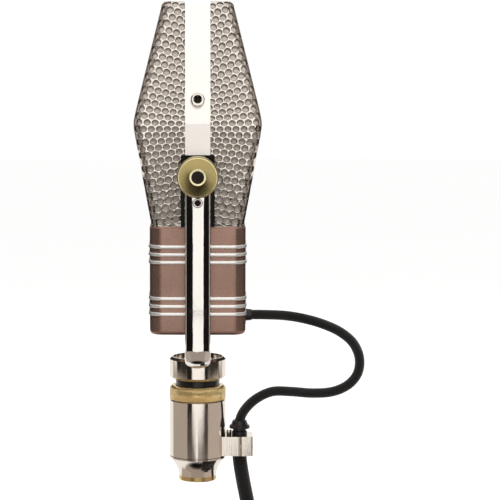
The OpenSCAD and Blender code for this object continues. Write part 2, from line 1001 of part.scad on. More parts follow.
module transformer_bracket() {
    foot_z = cover_z + cover_t;
    color([0.55, 0.56, 0.58]) {
        for (x = [-1, 1])
            translate([x * 21 - 1, -14, foot_z]) cube([2, 22, 40]);
        translate([-22, -14, foot_z]) cube([44, 22, 2]);
    }
}

module terminal_board() {
    color([0.4, 0.2, 0.1]) {
        translate([-15, -10, seam_z - 15.5]) cube([30, 20, 1.5]);
        for (x = [-9, 0, 9])
            translate([x, -6, seam_z - 19]) cylinder(h = 7, r = 1.3);
        for (x = [-12, 12], y = [-7, 7])
            translate([x, y, seam_z - 14]) cylinder(h = 14 - deck_t, r = 2.2);
    }
}

module cable_gland() {
    face_y = case_d / 2;
    bore_r = upper_lead_d / 2 + 0.15;
    color([0.1, 0.09, 0.09])
        translate([0, 0, exit_z])
            rotate([-90, 0, 0])
                rotate_extrude()
                    polygon([
                        [bore_r, face_y - 6], [5, face_y - 6], [5, face_y - case_wall],
                        [4.6, face_y - case_wall], [4.6, face_y], [6.5, face_y],
                        [6.5, face_y + 0.4], [6.1, face_y + 0.8], [3.9, face_y + 0.8],
                        [3.6, face_y + 4.5], [bore_r, face_y + 4.5]
                    ]);
}

// ---- Leads ----

module upper_lead() {
    color([0.03, 0.03, 0.03]) tube(upper_lead_route, upper_lead_d, 10, [1, 0, 0]);
}

module lower_lead() {
    color([0.03, 0.03, 0.03]) tube(lower_lead_route, lower_lead_d, 10, [0, 1, 0.1]);
}

module lead_tail() {
    color([0.03, 0.03, 0.03]) tube(lead_tail_route, lower_lead_d, 10, [0, 1, 0.1]);
}

module lead_coil() {
    color([0.03, 0.03, 0.03])
        translate([0, coil_y, coil_z])
            rotate([90, 0, 0])
                rotate_extrude($fn = 96)
                    translate([coil_r, 0])
                        rounded_rect(coil_side, coil_side, lower_lead_d / 2);
}

// Straps around the bundle at the bottom and at the left of the coil
module coil_ties() {
    strap_t = 1.2;
    strap_w = 14;
    inner = coil_side + 1.6;
    color([0.08, 0.08, 0.09])
        for (a = [0, 90])
            translate([0, coil_y, coil_z])
                rotate([0, a, 0])
                    translate([0, 0, -coil_r])
                        difference() {
                            cube([strap_w, inner + 2 * strap_t, inner + 2 * strap_t], center = true);
                            cube([strap_w + 2, inner, inner], center = true);
                        }
}

module plug_shell() {
    r = 9.5;
    color([0.7, 0.7, 0.7])
        translate([plug_x, plug_y, plug_top_z])
            rotate_extrude()
                polygon([
                    [lower_lead_d / 2 + 0.1, 0], [5.6, 0], [7.2, -20], [8.4, -20], [r, -21],
                    [r, -64], [8.2, -64], [8.2, -24], [lower_lead_d / 2 + 0.1, -22]
                ]);
}

module plug_insert() {
    pin_circle_r = 4.2;
    color([0.06, 0.06, 0.06])
        translate([plug_x, plug_y, plug_top_z]) {
            translate([0, 0, -48]) cylinder(h = 10, r = 8.2 - fit);
            for (a = [30, 150, 270])
                rotate(a)
                    translate([pin_circle_r, 0, -62]) cylinder(h = 15, r = 1.2);
        }
}

thread_insert();
stand_socket();
mount_shell();
swivel_screws();
isolation_cushion();
stem();
stem_washer();
stem_nut();
lock_ring();
neck_cushion();
yoke_collar();
yoke_tube();
yoke_bolt();
arm_washers();
knob_left();
knob_right();
pivot_screw_left();
pivot_screw_right();
pivot_bushes();
side_brackets();
frame_plate();
spine_left();
spine_right();
centre_band();
band_screws();
grille_front();
grille_rear();
cloth_front();
cloth_rear();
magnet();
magnet_cushions();
magnet_bolts();
pole_left();
pole_right();
ribbon();
ribbon_clamps();
ribbon_clamp_screws();
ribbon_insulators();
ribbon_wires();
lower_case();
trim_bands_upper();
trim_bands_lower();
bottom_cover();
bottom_screws();
transformer_core();
transformer_coil();
transformer_bracket();
terminal_board();
cable_gland();
upper_lead();
clamp_body();
clamp_cap();
clamp_screws();
clamp_grommet();
lower_lead();
lead_coil();
coil_ties();
lead_tail();
plug_shell();
plug_insert();
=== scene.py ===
"""Looks of the ribbon microphone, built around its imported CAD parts. Metres, +Z up, the front faces -Y."""
import json
import math

import bmesh
import bpy
import numpy as np
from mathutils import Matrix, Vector

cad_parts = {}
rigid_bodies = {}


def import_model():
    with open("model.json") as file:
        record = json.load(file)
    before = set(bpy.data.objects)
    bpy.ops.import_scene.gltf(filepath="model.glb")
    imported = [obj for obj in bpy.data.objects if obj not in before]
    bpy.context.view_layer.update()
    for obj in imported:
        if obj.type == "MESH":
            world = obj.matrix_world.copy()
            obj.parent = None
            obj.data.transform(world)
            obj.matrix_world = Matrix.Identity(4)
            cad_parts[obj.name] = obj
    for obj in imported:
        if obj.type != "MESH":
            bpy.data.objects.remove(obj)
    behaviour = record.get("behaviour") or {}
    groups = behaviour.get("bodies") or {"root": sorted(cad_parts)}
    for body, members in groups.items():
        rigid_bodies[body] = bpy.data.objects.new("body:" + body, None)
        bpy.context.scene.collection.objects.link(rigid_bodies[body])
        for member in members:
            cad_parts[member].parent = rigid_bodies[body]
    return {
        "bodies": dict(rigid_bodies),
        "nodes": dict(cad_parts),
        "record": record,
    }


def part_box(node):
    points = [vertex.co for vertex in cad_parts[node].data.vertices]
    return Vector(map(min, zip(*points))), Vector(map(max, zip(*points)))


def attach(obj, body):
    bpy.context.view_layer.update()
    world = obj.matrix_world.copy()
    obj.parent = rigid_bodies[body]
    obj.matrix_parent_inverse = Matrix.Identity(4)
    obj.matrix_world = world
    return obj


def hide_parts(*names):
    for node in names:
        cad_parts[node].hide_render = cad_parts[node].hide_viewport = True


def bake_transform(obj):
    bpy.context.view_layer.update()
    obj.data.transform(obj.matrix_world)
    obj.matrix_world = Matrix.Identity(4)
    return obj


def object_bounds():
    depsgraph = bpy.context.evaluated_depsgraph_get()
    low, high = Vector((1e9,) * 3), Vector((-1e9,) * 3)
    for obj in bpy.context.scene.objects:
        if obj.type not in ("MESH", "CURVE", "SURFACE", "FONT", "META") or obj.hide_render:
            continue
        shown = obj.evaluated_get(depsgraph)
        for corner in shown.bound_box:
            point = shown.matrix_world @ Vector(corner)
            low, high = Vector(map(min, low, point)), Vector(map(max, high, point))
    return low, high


MM = 0.001

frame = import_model()
cad_low, cad_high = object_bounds()


# ---- Camera ----

CAMERA_PLACE = (1.3818, 0, 0.29536)
CAMERA_DOWN = 6.058
CAMERA_LENS, CAMERA_SENSOR, CAMERA_SHIFT = 156.34, 36, .1046


def make_camera():
    """Long lens level with the head, on the tilt axis's side, looking slightly down."""
    camera = bpy.data.objects.new("camera", bpy.data.cameras.new("camera"))
    bpy.context.scene.collection.objects.link(camera)
    camera.location = CAMERA_PLACE
    camera.rotation_euler = (math.radians(90 - CAMERA_DOWN), 0, math.radians(90))
    camera.data.lens = CAMERA_LENS
    camera.data.sensor_width = CAMERA_SENSOR
    camera.data.shift_x = CAMERA_SHIFT
    bpy.context.scene.camera = camera


# ---- Mesh helpers ----

def mesh_object(name, points, faces, uvs=None):
    mesh = bpy.data.meshes.new(name)
    mesh.from_pydata([tuple(p) for p in points], [], faces)
    if uvs is not None:
        layer = mesh.uv_layers.new(name="along_around")
        for loop, uv in zip(layer.data, uvs):
            loop.uv = uv
    mesh.update()
    piece = bpy.data.objects.new(name, mesh)
    bpy.context.scene.collection.objects.link(piece)
    return piece


def box_mm(node):
    """Lowest and highest corner of a CAD node, in mm."""
    return [tuple(v / MM for v in corner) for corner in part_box(node)]


def give(piece, *finishes):
    """Leaves a piece with these materials only."""
    piece.data.materials.clear()
    for finish in finishes:
        piece.data.materials.append(finish)


def declare(piece, body, slot, *nodes):
    """Says which body a piece rides on and which CAD nodes it stands for; the slot is not used."""
    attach(piece, body)
    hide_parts(*nodes)


def angles(count):
    return [2 * math.pi * k / count for k in range(count)]


def soften(piece, angle):
    piece.data.shade_smooth()
    piece.data.set_sharp_from_angle(angle=math.radians(angle))


def grid_faces(rows, columns):
    """Quads of a grid of rows by columns points, where each row closes on itself."""
    return [
        [r * columns + c, r * columns + (c + 1) % columns,
         (r + 1) * columns + (c + 1) % columns, (r + 1) * columns + c]
        for r in range(rows - 1) for c in range(columns)
    ]


def hoop_faces(sides, columns):
    """Quads of a hoop with closed sections, whose points are given section by section."""
    return [
        [i * columns + k, (i + 1) % sides * columns + k,
         (i + 1) % sides * columns + (k + 1) % columns, i * columns + (k + 1) % columns]
        for i in range(sides) for k in range(columns)
    ]


def lofted(name, rings):
    """Closed solid through rings of equally many points, each anticlockwise seen from the loft's far end."""
    count = len(rings[0])
    faces = grid_faces(len(rings), count)
    faces.append(list(range(count))[::-1])
    faces.append([(len(rings) - 1) * count + i for i in range(count)])
    return mesh_object(name, [p for ring in rings for p in ring], faces)


def turned(name, profile, centre, axis="Z", sides=128, radius_of=None):
    """Closed ring or disc turned from a profile of (radius, height) pairs, in mm, about an axis."""
    points = []
    for i, a in enumerate(angles(sides)):
        for r, h in profile:
            if radius_of:
                r = radius_of(r, i)
            p = (r * math.cos(a) * MM, r * math.sin(a) * MM, h * MM)
            if axis == "X":
                p = (p[2], p[0], p[1])
            points.append(Vector(p) + Vector(centre))
    piece = mesh_object(name, points, hoop_faces(sides, len(profile)))
    fix_normals(piece)
    return piece


def fix_normals(piece):
    """Turns a closed mesh's faces outwards."""
    bm = bmesh.new()
    bm.from_mesh(piece.data)
    bmesh.ops.recalc_face_normals(bm, faces=bm.faces)
    bm.to_mesh(piece.data)
    bm.free()


def smooth_through(points, step):
    """Points about step apart on a smooth curve through the given ones."""
    p = np.array(points, float)
    gaps = np.linalg.norm(np.diff(p, axis=0), axis=1)
    t = np.concatenate([[0], np.cumsum(gaps)])
    slopes = np.zeros_like(p)
    slopes[1:-1] = (p[2:] - p[:-2]) / (t[2:] - t[:-2])[:, None]
    slopes[0] = (p[1] - p[0]) / gaps[0]
    slopes[-1] = (p[-1] - p[-2]) / gaps[-1]
    out = []
    for i, gap in enumerate(gaps):
        n = max(2, round(gap / step))
        for k in range(n):
            s = k / n
            h00, h10 = 2 * s**3 - 3 * s**2 + 1, s**3 - 2 * s**2 + s
            h01, h11 = -2 * s**3 + 3 * s**2, s**3 - s**2
            out.append(h00 * p[i] + h10 * gap * slopes[i] + h01 * p[i + 1] + h11 * gap * slopes[i + 1])
    out.append(p[-1])
    return [Vector(q) for q in out]


def lead_tube(name, path, diameter, sides):
    """Round tube along a path, with UVs that run along it in metres and once around it."""
    side = None
    points, along = [], [0.0]
    for i, p in enumerate(path):
        way = (path[min(i + 1, len(path) - 1)] - path[max(i - 1, 0)]).normalized()
        if side is None:
            side = way.orthogonal().normalized()
        side = (side - way * side.dot(way)).normalized()
        other = way.cross(side)
        if i:
            along.append(along[-1] + (p - path[i - 1]).length)
        for a in angles(sides):
            points.append(p + diameter / 2 * (math.cos(a) * side + math.sin(a) * other))
    faces, uvs = grid_faces(len(path), sides), []
    for i in range(len(path) - 1):
        for k in range(sides):
            u0, u1 = k / sides, (k + 1) / sides
            uvs += [(u0, along[i]), (u1, along[i]), (u1, along[i + 1]), (u0, along[i + 1])]
    last = (len(path) - 1) * sides
    faces += [list(range(sides))[::-1], [last + k for k in range(sides)]]
    uvs += [(0, 0)] * (2 * sides)
    piece = mesh_object(name, points, faces, uvs)
    piece.data.shade_smooth()
    return piece


# ---- Leads ----

UPPER_D = 0.0062
LOWER_D = 0.0092
# Both routes are given here: the upper one and the lower one's start follow the photograph
UPPER_ROUTE = [
    (0, .029, .107), (0, .043, .107), (0, .057, .1063), (0, .07, .104), (0, .082, .1003),
    (0, .092, .0955), (0, .1, .0885), (0, .104, .079), (0, .103, .069), (0, .097, .0615),
    (0, .087, .057), (0, .074, .056), (0, .06, .057), (0, .048, .057), (0, .038, .0525),
    (0, .031, .046), (0, .0273, .039), (0, .027, .0315),
]
LOWER_ROUTE = [(0, .027, .029), (0, .027, .015), (0, .0288, .002), (0, .0315, -.012)]
COIL_Z = -0.104
COIL_RADIUS, COIL_MIDDLE_Y = .05, .0438
PLUG_X, PLUG_Y = 0.05, 0.068
# Each turn's radius and its place along Y, in the order they are wound
TURNS = [
    (.0592, .0346), (.05, .0346), (.0408, .0346), (.0408, .0438), (.05, .0438),
    (.0592, .0438), (.0592, .053), (.05, .053), (.0408, .053),
]
ENTRY_ANGLE = 23.4
# A change from one turn to the next starts this many degrees before the top, and lasts SHIFT_OVER
SHIFT_EARLY, SHIFT_OVER, SHIFT_BULGE = 80, 150, .0022
# The last turn leaves the bundle sideways to this place along Y, over the degrees before its end
LEAVE_Y, LEAVE_OVER = .0624, 85
# Degrees past the top over which the tail reaches the plug's place
TAIL_OVER = 90
ENTRY_BEND_R, ENTRY_BEND_Y, ENTRY_BEND_Z = .039, .0319, -.0139


def ease(x):
    """Smooth step from 0 to 1."""
    x = min(max(x, 0), 1)
    return x * x * (3 - 2 * x)


def wound_path():
    """The coil from its entry to where the tail leaves for the plug."""
    path = []
    angle, leave = ENTRY_ANGLE, 360 * len(TURNS)
    while angle <= leave + TAIL_OVER:
        index = math.floor((angle + SHIFT_EARLY) / 360)
        share = ease((angle + SHIFT_EARLY) % 360 / SHIFT_OVER)
        now = TURNS[min(index, len(TURNS) - 1)]
        before = TURNS[max(min(index, len(TURNS)) - 1, 0)]
        radius = before[0] + (now[0] - before[0]) * share
        y = before[1] + (now[1] - before[1]) * share
        if now[0] == before[0] and now != before:
            outwards = 1 if now[0] > COIL_RADIUS else -1
            radius += outwards * SHIFT_BULGE * math.sin(math.pi * share)
        y += (LEAVE_Y - TURNS[-1][1]) * ease((angle - leave + LEAVE_OVER) / LEAVE_OVER)
        y += (PLUG_Y - LEAVE_Y) * ease((angle - leave) / TAIL_OVER)
        radius += (PLUG_X - TURNS[-1][0]) * ease((angle - leave) / TAIL_OVER)
        a = math.radians(angle)
        path.append(Vector((radius * math.sin(a), y, COIL_Z + radius * math.cos(a))))
        angle += 5
    return path


def lower_path():
    """Down from the clamp, round into the coil's outer turn, through the coil and into the plug."""
    path = smooth_through(LOWER_ROUTE + [(0, ENTRY_BEND_Y, ENTRY_BEND_Z)], .004)
    steps, sideways_over = 14, 50
    for i in range(1, steps):
        a = math.radians((90 - ENTRY_ANGLE) * i / steps)
        u = min(a / math.radians(sideways_over), 1)
        path.append(Vector((ENTRY_BEND_R * (1 - math.cos(a)),
                            ENTRY_BEND_Y + (TURNS[0][1] - ENTRY_BEND_Y) * (2 * u - u * u),
                            ENTRY_BEND_Z - ENTRY_BEND_R * math.sin(a))))
    path += wound_path()
    for drop in (.006, .012, .018):
        path.append(Vector((PLUG_X, PLUG_Y, COIL_Z - drop)))
    return path


def make_leads(materials):
    """The upper lead, and the lower lead with its coil and ties, which runs down into the plug."""
    upper = smooth_through(UPPER_ROUTE, .0022)
    piece = lead_tube("upper_lead_braid", upper, UPPER_D, 24)
    give(piece, materials["black_braid"])
    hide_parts("upper_lead")
    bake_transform(piece)
    lower = lower_path()
    piece = lead_tube("lower_lead_braid", lower, LOWER_D, 20)
    give(piece, materials["black_braid"])
    declare(piece, "yoke", "black_braid", "lower_lead", "lead_coil", "lead_tail")
    ties = [coil_tie(a, materials) for a in (180, 270)]


def coil_tie(angle, materials):
    """Webbing strap round the bundle of turns, at an angle from the coil's top."""
    half, corner, thick, width = .0142, .0046, .0012, .014
    loop = []
    for q in range(4):
        for k in range(9):
            a = math.pi / 2 * (q + k / 8)
            cx = (half - corner) * (1 if q in (0, 3) else -1)
            cy = (half - corner) * (1 if q in (0, 1) else -1)
            loop.append((cx, cy, math.cos(a), math.sin(a)))
    a = math.radians(angle)
    out = Vector((math.sin(a), 0, math.cos(a)))
    along = Vector((math.cos(a), 0, -math.sin(a)))
    centre = Vector((0, COIL_MIDDLE_Y, COIL_Z)) + out * COIL_RADIUS
    section = [(-.5, 0), (-.47, .85), (-.4, 1), (.4, 1), (.47, .85), (.5, 0)]
    points = []
    for cx, cy, nx, ny in loop:
        for w, t in section:
            grow = corner + thick * t
            points.append(centre + out * (cx + nx * grow) + Vector((0, 1, 0)) * (cy + ny * grow)
                          + along * (w * width))
    piece = mesh_object(f"coil_tie_{angle}", points, hoop_faces(len(loop), len(section)))
    fix_normals(piece)
    soften(piece, 40)
    give(piece, materials["black_webbing"])
    declare(piece, "yoke", "black_webbing", "coil_ties")
    return piece


# ---- Materials ----

class Tree:
    """An emptied node tree to build in."""

    def __init__(self, tree):
        self.tree = tree
        tree.nodes.clear()

    def node(self, kind, inputs=None, **settings):
        n = self.tree.nodes.new("ShaderNode" + kind)
        for k, v in settings.items():
            setattr(n, k, v)
        for k, v in (inputs or {}).items():
            self.put(n.inputs[k], v)
        return n

    def put(self, socket, value):
        if isinstance(value, bpy.types.NodeSocket):
            self.tree.links.new(value, socket)
        else:
            socket.default_value = value

    def spread(self, value, low, high, start=.3, end=.7):
        return self.node("MapRange", {"Value": value, "From Min": start, "From Max": end,
                                      "To Min": low, "To Max": high}).outputs["Result"]

    def shades(self, value, *stops):
        """Colour ramp through (place, colour) stops."""
        n = self.node("ValToRGB", {"Fac": value})
        elements = n.color_ramp.elements
        while len(elements) < len(stops):
            elements.new(.5)
        for element, (at, colour) in zip(elements, stops):
            element.position = at
            element.color = (*colour, 1)
        return n.outputs["Color"]

    def maths(self, operation, a, b=None):
        inputs = {0: a} if b is None else {0: a, 1: b}
        return self.node("Math", inputs, operation=operation).outputs[0]

    def bump(self, height, distance, under=None):
        inputs = {"Height": height, "Distance": distance, "Strength": 1.0}
        if under is not None:
            inputs["Normal"] = under
        return self.node("Bump", inputs).outputs["Normal"]


class Nodes(Tree):
    """A new material's node tree, with a principled shader to fill in."""

    def __init__(self, name, **sockets):
        self.material = bpy.data.materials.new(name)
        self.material.use_nodes = True
        super().__init__(self.material.node_tree)
        self.shader = self.tree.nodes.new("ShaderNodeBsdfPrincipled")
        out = self.tree.nodes.new("ShaderNodeOutputMaterial")
        self.tree.links.new(self.shader.outputs["BSDF"], out.inputs["Surface"])
        for socket, value in sockets.items():
            self.shader.inputs[socket.replace("_", " ")].default_value = value

    def place(self, scale=(1, 1, 1), uv=False):
        where = self.node("TexCoord").outputs["UV" if uv else "Object"]
        return self.node("Mapping", {"Vector": where, "Scale": scale}).outputs["Vector"]

    def noise(self, scale, detail=3, stretch=(1, 1, 1), rough=.5):
        return self.node("TexNoise", {"Vector": self.place(stretch), "Scale": scale, "Detail": detail,
                                      "Roughness": rough}).outputs["Fac"]

    def clouds(self, value, colour, low, high):
        """The colour times one factor where the value is low, and times another where it is high."""
        return self.shades(value, (.3, tint(colour, low)), (.7, tint(colour, high)))

    def paint(self, colour=None, roughness=None, normal=None):
        for socket, value in (("Base Color", colour), ("Roughness", roughness), ("Normal", normal)):
            if value is not None:
                self.put(self.shader.inputs[socket], value)
        return self.material


def tint(colour, factor):
    return tuple(min(c * factor, 1) for c in colour)


def plated_metal(name, colour, rough, variety=.04, blotch=45, scratch=.00001, stretch=(1, 1, .05)):
    """Plated or polished metal: faint cloudiness, smears in the gloss and fine rubbing marks."""
    m = Nodes(name, Metallic=1)
    cloud = m.noise(blotch, 4)
    smear = m.noise(220, 5, (1, 1, .4), .6)
    marks = m.noise(2600, 2, stretch)
    return m.paint(
        m.clouds(cloud, colour, 1 - variety, 1 + variety / 2),
        m.spread(smear, rough * .75, rough * 1.5), m.bump(marks, scratch))


def satin_metal(name, colour, rough, metallic):
    """Sheet metal polished to a soft, even sheen: its brush marks run upwards."""
    m = Nodes(name, Metallic=metallic)
    brushed = m.noise(1400, 3, (1, 1, .03))
    return m.paint(
        m.clouds(m.noise(30, 4), colour, .98, 1.02),
        m.spread(brushed, rough * .9, rough * 1.1), m.bump(brushed, .000004))


def perforated_metal(name, colour, rough):
    """Plated sheet whose webs were left uneven by the punch."""
    m = Nodes(name, Metallic=1)
    dents = m.noise(260, 2)
    return m.paint(
        m.clouds(m.noise(90, 4), colour, .93, 1.03),
        m.spread(m.noise(400, 4), rough * .7, rough * 1.5), m.bump(dents, .0002))


def turned_brass(name, colour, rough):
    """Brass with the fine rings that a lathe leaves, about the piece's own axis through the pivot."""
    m = Nodes(name, Metallic=1)
    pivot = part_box("knob_right")
    middle = [(pivot[0][i] + pivot[1][i]) / 2 for i in range(3)]
    where = m.node("TexCoord").outputs["Object"]
    pivot_at = (0, middle[1], middle[2])
    moved = m.node("VectorMath", {0: where, 1: pivot_at}, operation="SUBTRACT").outputs[0]
    flat = m.node("VectorMath", {0: moved, 1: (0, 1, 1)}, operation="MULTIPLY").outputs[0]
    ring = m.node("VectorMath", {0: flat}, operation="LENGTH").outputs["Value"]
    grooves = m.node("TexNoise", {"W": ring, "Scale": 3200, "Detail": 3}, noise_dimensions="1D").outputs[0]
    tarnish = m.noise(60, 4)
    smear = m.noise(260, 4)
    m.shader.inputs["Anisotropic"].default_value = .65
    m.put(m.shader.inputs["Tangent"], m.node("Tangent", direction_type="RADIAL", axis="X").outputs[0])
    return m.paint(
        m.shades(tarnish, (.28, tint(colour, .9)), (.5, colour), (.75, tint(colour, 1.06))),
        m.spread(smear, rough * .9, rough * 1.15), m.bump(grooves, .000006))


def brass(name, colour, rough, dark=.75, metallic=1.0):
    """Machined brass with clouds of tarnish."""
    m = Nodes(name, Metallic=metallic)
    tarnish = m.noise(120, 5, rough=.6)
    return m.paint(
        m.shades(tarnish, (.28, tint(colour, dark)), (.5, colour), (.75, tint(colour, 1.06))),
        m.spread(m.noise(300, 4), rough * .8, rough * 1.4), m.bump(m.noise(2400, 2, (1, 1, .06)), .00001))


def enamel(name, colour, rough, dark, metallic=0.0):
    """Sprayed enamel: an even colour with faint clouds and orange peel."""
    m = Nodes(name, Metallic=metallic, Specular_IOR_Level=.25)
    cloud = m.noise(28, 4)
    peel = m.noise(900, 2)
    return m.paint(
        m.clouds(cloud, colour, dark, 1.04),
        m.spread(m.noise(190, 4), rough * .9, rough * 1.15), m.bump(peel, .000003))


def cloth(name, colour, pitch):
    """Fine plain weave: threads over and under each other, by the object's own places, with half the
    crossings darkened as painted shade.
    """
    m = Nodes(name, Roughness=.85, Sheen_Weight=.25, Sheen_Roughness=.5)
    where = m.place()
    parts = m.node("SeparateXYZ", {"Vector": where}).outputs
    scale = 2 * math.pi / pitch
    warp = m.maths("SINE", m.maths("MULTIPLY", m.maths("ADD", parts["X"], parts["Y"]), scale))
    weft = m.maths("SINE", m.maths("MULTIPLY", parts["Z"], scale))
    over = m.maths("MULTIPLY", warp, weft)
    height = m.spread(over, 0, 1, -1, 1)
    patch = m.noise(160, 4)
    base = m.clouds(patch, colour, .88, 1.08)
    # Painted shade: the crossings where the weave's bump rises are mixed towards a darker copy of the cloth's
    # colour
    painted_weave_shade = m.node("Mix", {0: m.spread(over, 0, .35, -1, 1), 6: base, 7: (*tint(colour, .55), 1)},
                   data_type="RGBA").outputs[2]
    return m.paint(painted_weave_shade, None, m.bump(height, .00012))


def braid(name, colour, along, around):
    """Braided sleeve: strands that cross on two slants, from UVs along and around the lead, painted darker
    between the strands as shade and lighter on their crests as sheen.
    """
    m = Nodes(name, Roughness=.55, Sheen_Weight=.2, Sheen_Roughness=.4, Specular_IOR_Level=.4)
    parts = m.node("SeparateXYZ", {"Vector": m.place(uv=True)}).outputs
    turn = m.maths("MULTIPLY", parts["X"], around * 2 * math.pi)
    run = m.maths("MULTIPLY", parts["Y"], 2 * math.pi / along)
    right = m.maths("SINE", m.maths("ADD", turn, run))
    left = m.maths("SINE", m.maths("SUBTRACT", turn, run))
    height = m.maths("MAXIMUM", right, left)
    fluff = m.noise(3500, 3)
    # Painted shade in the grooves between strands and a painted sheen on their crests
    return m.paint(
        m.shades(m.spread(height, 0, 1, -.4, 1),
                 (.0, tint(colour, .35)), (.8, colour), (1, tint(colour, 1.7))),
        m.spread(fluff, .45, .68), m.bump(fluff, .00006, under=m.bump(height, .00022)))


def rubber(name, colour, rough):
    m = Nodes(name, Specular_IOR_Level=.45)
    return m.paint(
        m.clouds(m.noise(140, 4), colour, .7, 1.4),
        m.spread(m.noise(600, 4), rough * .8, rough * 1.25), m.bump(m.noise(2600, 3), .00003))


def board(name, colour, rough):
    """Pressed fibre or phenolic: a laminated, slightly speckled surface."""
    m = Nodes(name)
    grain = m.noise(900, 4, (.2, .2, 3))
    return m.paint(
        m.shades(grain, (.25, tint(colour, .6)), (.55, colour), (.8, tint(colour, 1.35))),
        m.spread(m.noise(300, 3), rough * .8, rough * 1.2), m.bump(grain, .00004))


def cast(name, colour, rough):
    """Cast or cut metal left rough, with fine pits; made dark, it also serves as painted shade on the
    grille's hole walls and in recesses.
    """
    m = Nodes(name, Metallic=1)
    pits = m.noise(1300, 5, rough=.65)
    return m.paint(
        m.clouds(m.noise(70, 5), colour, .7, 1.15),
        m.spread(pits, rough * .8, rough * 1.3), m.bump(pits, .00008))


def winding(name, colour):
    """Varnished wire wound in level turns about a vertical former, painted darker between the turns as shade
    and lighter on each turn as a highlight.
    """
    m = Nodes(name, Metallic=.6, Coat_Weight=.5, Coat_Roughness=.2)
    parts = m.node("SeparateXYZ", {"Vector": m.place()}).outputs
    wire_pitch = .0005
    turns = m.maths("SINE", m.maths("MULTIPLY", parts["Z"], 2 * math.pi / wire_pitch))
    # Painted shade between the turns and a painted highlight on each turn
    return m.paint(
        m.shades(m.spread(turns, 0, 1, -1, 1), (.0, tint(colour, .4)), (.7, colour), (1, tint(colour, 1.3))),
        m.spread(m.noise(200, 4), .3, .5), m.bump(turns, .00015))


def webbing(name, colour):
    """Woven strap: ribs across it, with a twill slant, painted darker in the valleys as shade and lighter on
    the ribs as a highlight.
    """
    m = Nodes(name, Roughness=.8, Sheen_Weight=.3, Sheen_Roughness=.5)
    ribs = m.node("TexWave", {"Vector": m.place(), "Scale": 420, "Distortion": .6, "Detail": 2,
                              "Detail Scale": 3}, bands_direction="DIAGONAL").outputs["Fac"]
    # Painted shade in the valleys between ribs and a painted highlight on their tops
    return m.paint(m.shades(ribs, (.0, tint(colour, .4)), (.6, colour), (1, tint(colour, 1.8))),
                   None, m.bump(ribs, .0002))


def foil(name, colour):
    m = Nodes(name, Metallic=1)
    crinkle = m.noise(2500, 4)
    return m.paint(m.shades(m.noise(300, 3), (.3, tint(colour, .9)), (.7, colour)),
                   m.spread(crinkle, .2, .4), m.bump(crinkle, .00002))


def make_materials():
    """All materials by name; the names that aren't the record's slots are second finishes of a piece."""
    recipes = {
        "brass": (brass, (.72, .52, .24), .22),
        # Paler copy of the knob's brass: a painted highlight on the rim's bevel and the counterbore's lip
        "knob_lip": (brass, (.95, .86, .56), .25, .95),
        "knob_brass": (turned_brass, (.46, .37, .16), .27),
        "knurled_brass": (brass, (1, .74, .34), .16, .97, .55),
        "nickel": (plated_metal, (.88, .82, .75), .09),
        "plug_nickel": (plated_metal, (.62, .60, .57), .28),
        "grille_nickel": (perforated_metal, (.88, .83, .77), .12),
        # Dark finish on the grille's hole walls: painted shade inside the holes
        "grille_edge": (cast, (.20, .17, .15), .4),
        "polished_chrome": (plated_metal, (.90, .87, .84), .045, .02),
        "satin_band": (satin_metal, (.96, .91, .85), .36, .1),
        # Near-black finish in the screws' recesses and the arm eyes' cups: painted shade
        "recess_black": (cast, (.03, .022, .02), .4),
        "satin_trim": (satin_metal, (.93, .91, .88), .22, .6),
        "dark_steel": (plated_metal, (.035, .028, .026), .35, .15, 90, .00003),
        "zinc_steel": (plated_metal, (.50, .51, .53), .32, .1, 60, .00004, (1, 1, 1)),
        "soft_iron": (cast, (.36, .33, .31), .42),
        "magnet_alloy": (cast, (.27, .28, .30), .5),
        "black_enamel": (enamel, (.004, .004, .004), .3, .8),
        "umber_enamel": (enamel, (.36, .222, .177), .26, .96, .78),
        "grey_cloth": (cloth, (.60, .525, .46), .0005),
        "black_rubber": (rubber, (.012, .011, .011), .2),
        "fibre": (board, (.14, .10, .08), .6),
        "brown_insulation": (board, (.26, .10, .045), .4),
        "aluminium_foil": (foil, (.86, .86, .85)),
        "enamelled_copper": (plated_metal, (.55, .22, .10), .25, .12),
        "wound_copper": (winding, (.55, .27, .12)),
        "black_braid": (braid, (.007, .0068, .0068), .0022, 12),
        "black_webbing": (webbing, (.03, .03, .033)),
        "black_plastic": (rubber, (.025, .025, .026), .42),
    }
    return {name: recipe(name, *values) for name, (recipe, *values) in recipes.items()}


def dress_nodes(materials):
    """Gives each CAD node the material of its slot in the record."""
    slots = {s["node"]: s["material_slot"] for s in frame["record"]["subparts"]}
    for name, piece in frame["nodes"].items():
        for holder in piece.material_slots:
            holder.material = materials["satin_band" if name == "centre_band" else slots[name]]


# ---- Rounded copies of CAD nodes ----

def rounded_copy(node, width, materials, slot, body):
    """A piece shaped as the CAD node with its hard edges rounded, which stands for the node."""
    edge_angle = 28
    mesh = frame["nodes"][node].data.copy()
    bm = bmesh.new()
    bm.from_mesh(mesh)
    bmesh.ops.remove_doubles(bm, verts=bm.verts, dist=2e-6)
    bmesh.ops.dissolve_limit(bm, angle_limit=math.radians(.6), verts=bm.verts, edges=bm.edges)
    bm.to_mesh(mesh)
    bm.free()
    piece = bpy.data.objects.new(node + "_rounded", mesh)
    bpy.context.scene.collection.objects.link(piece)
    give(piece, materials[slot])
    bevel = piece.modifiers.new("edges", "BEVEL")
    bevel.width = width
    bevel.segments = 3
    bevel.limit_method = "ANGLE"
    bevel.angle_limit = math.radians(edge_angle)
    bevel.use_clamp_overlap = True
    apply_modifiers(piece)
    soften(piece, edge_angle)
    weigh_normals(piece)
    declare(piece, body, slot, node)


def weigh_normals(piece):
    """Lets the large faces set the shading of the small ones beside them."""
    piece.modifiers.new("flat_faces", "WEIGHTED_NORMAL").keep_sharp = True
    apply_modifiers(piece)


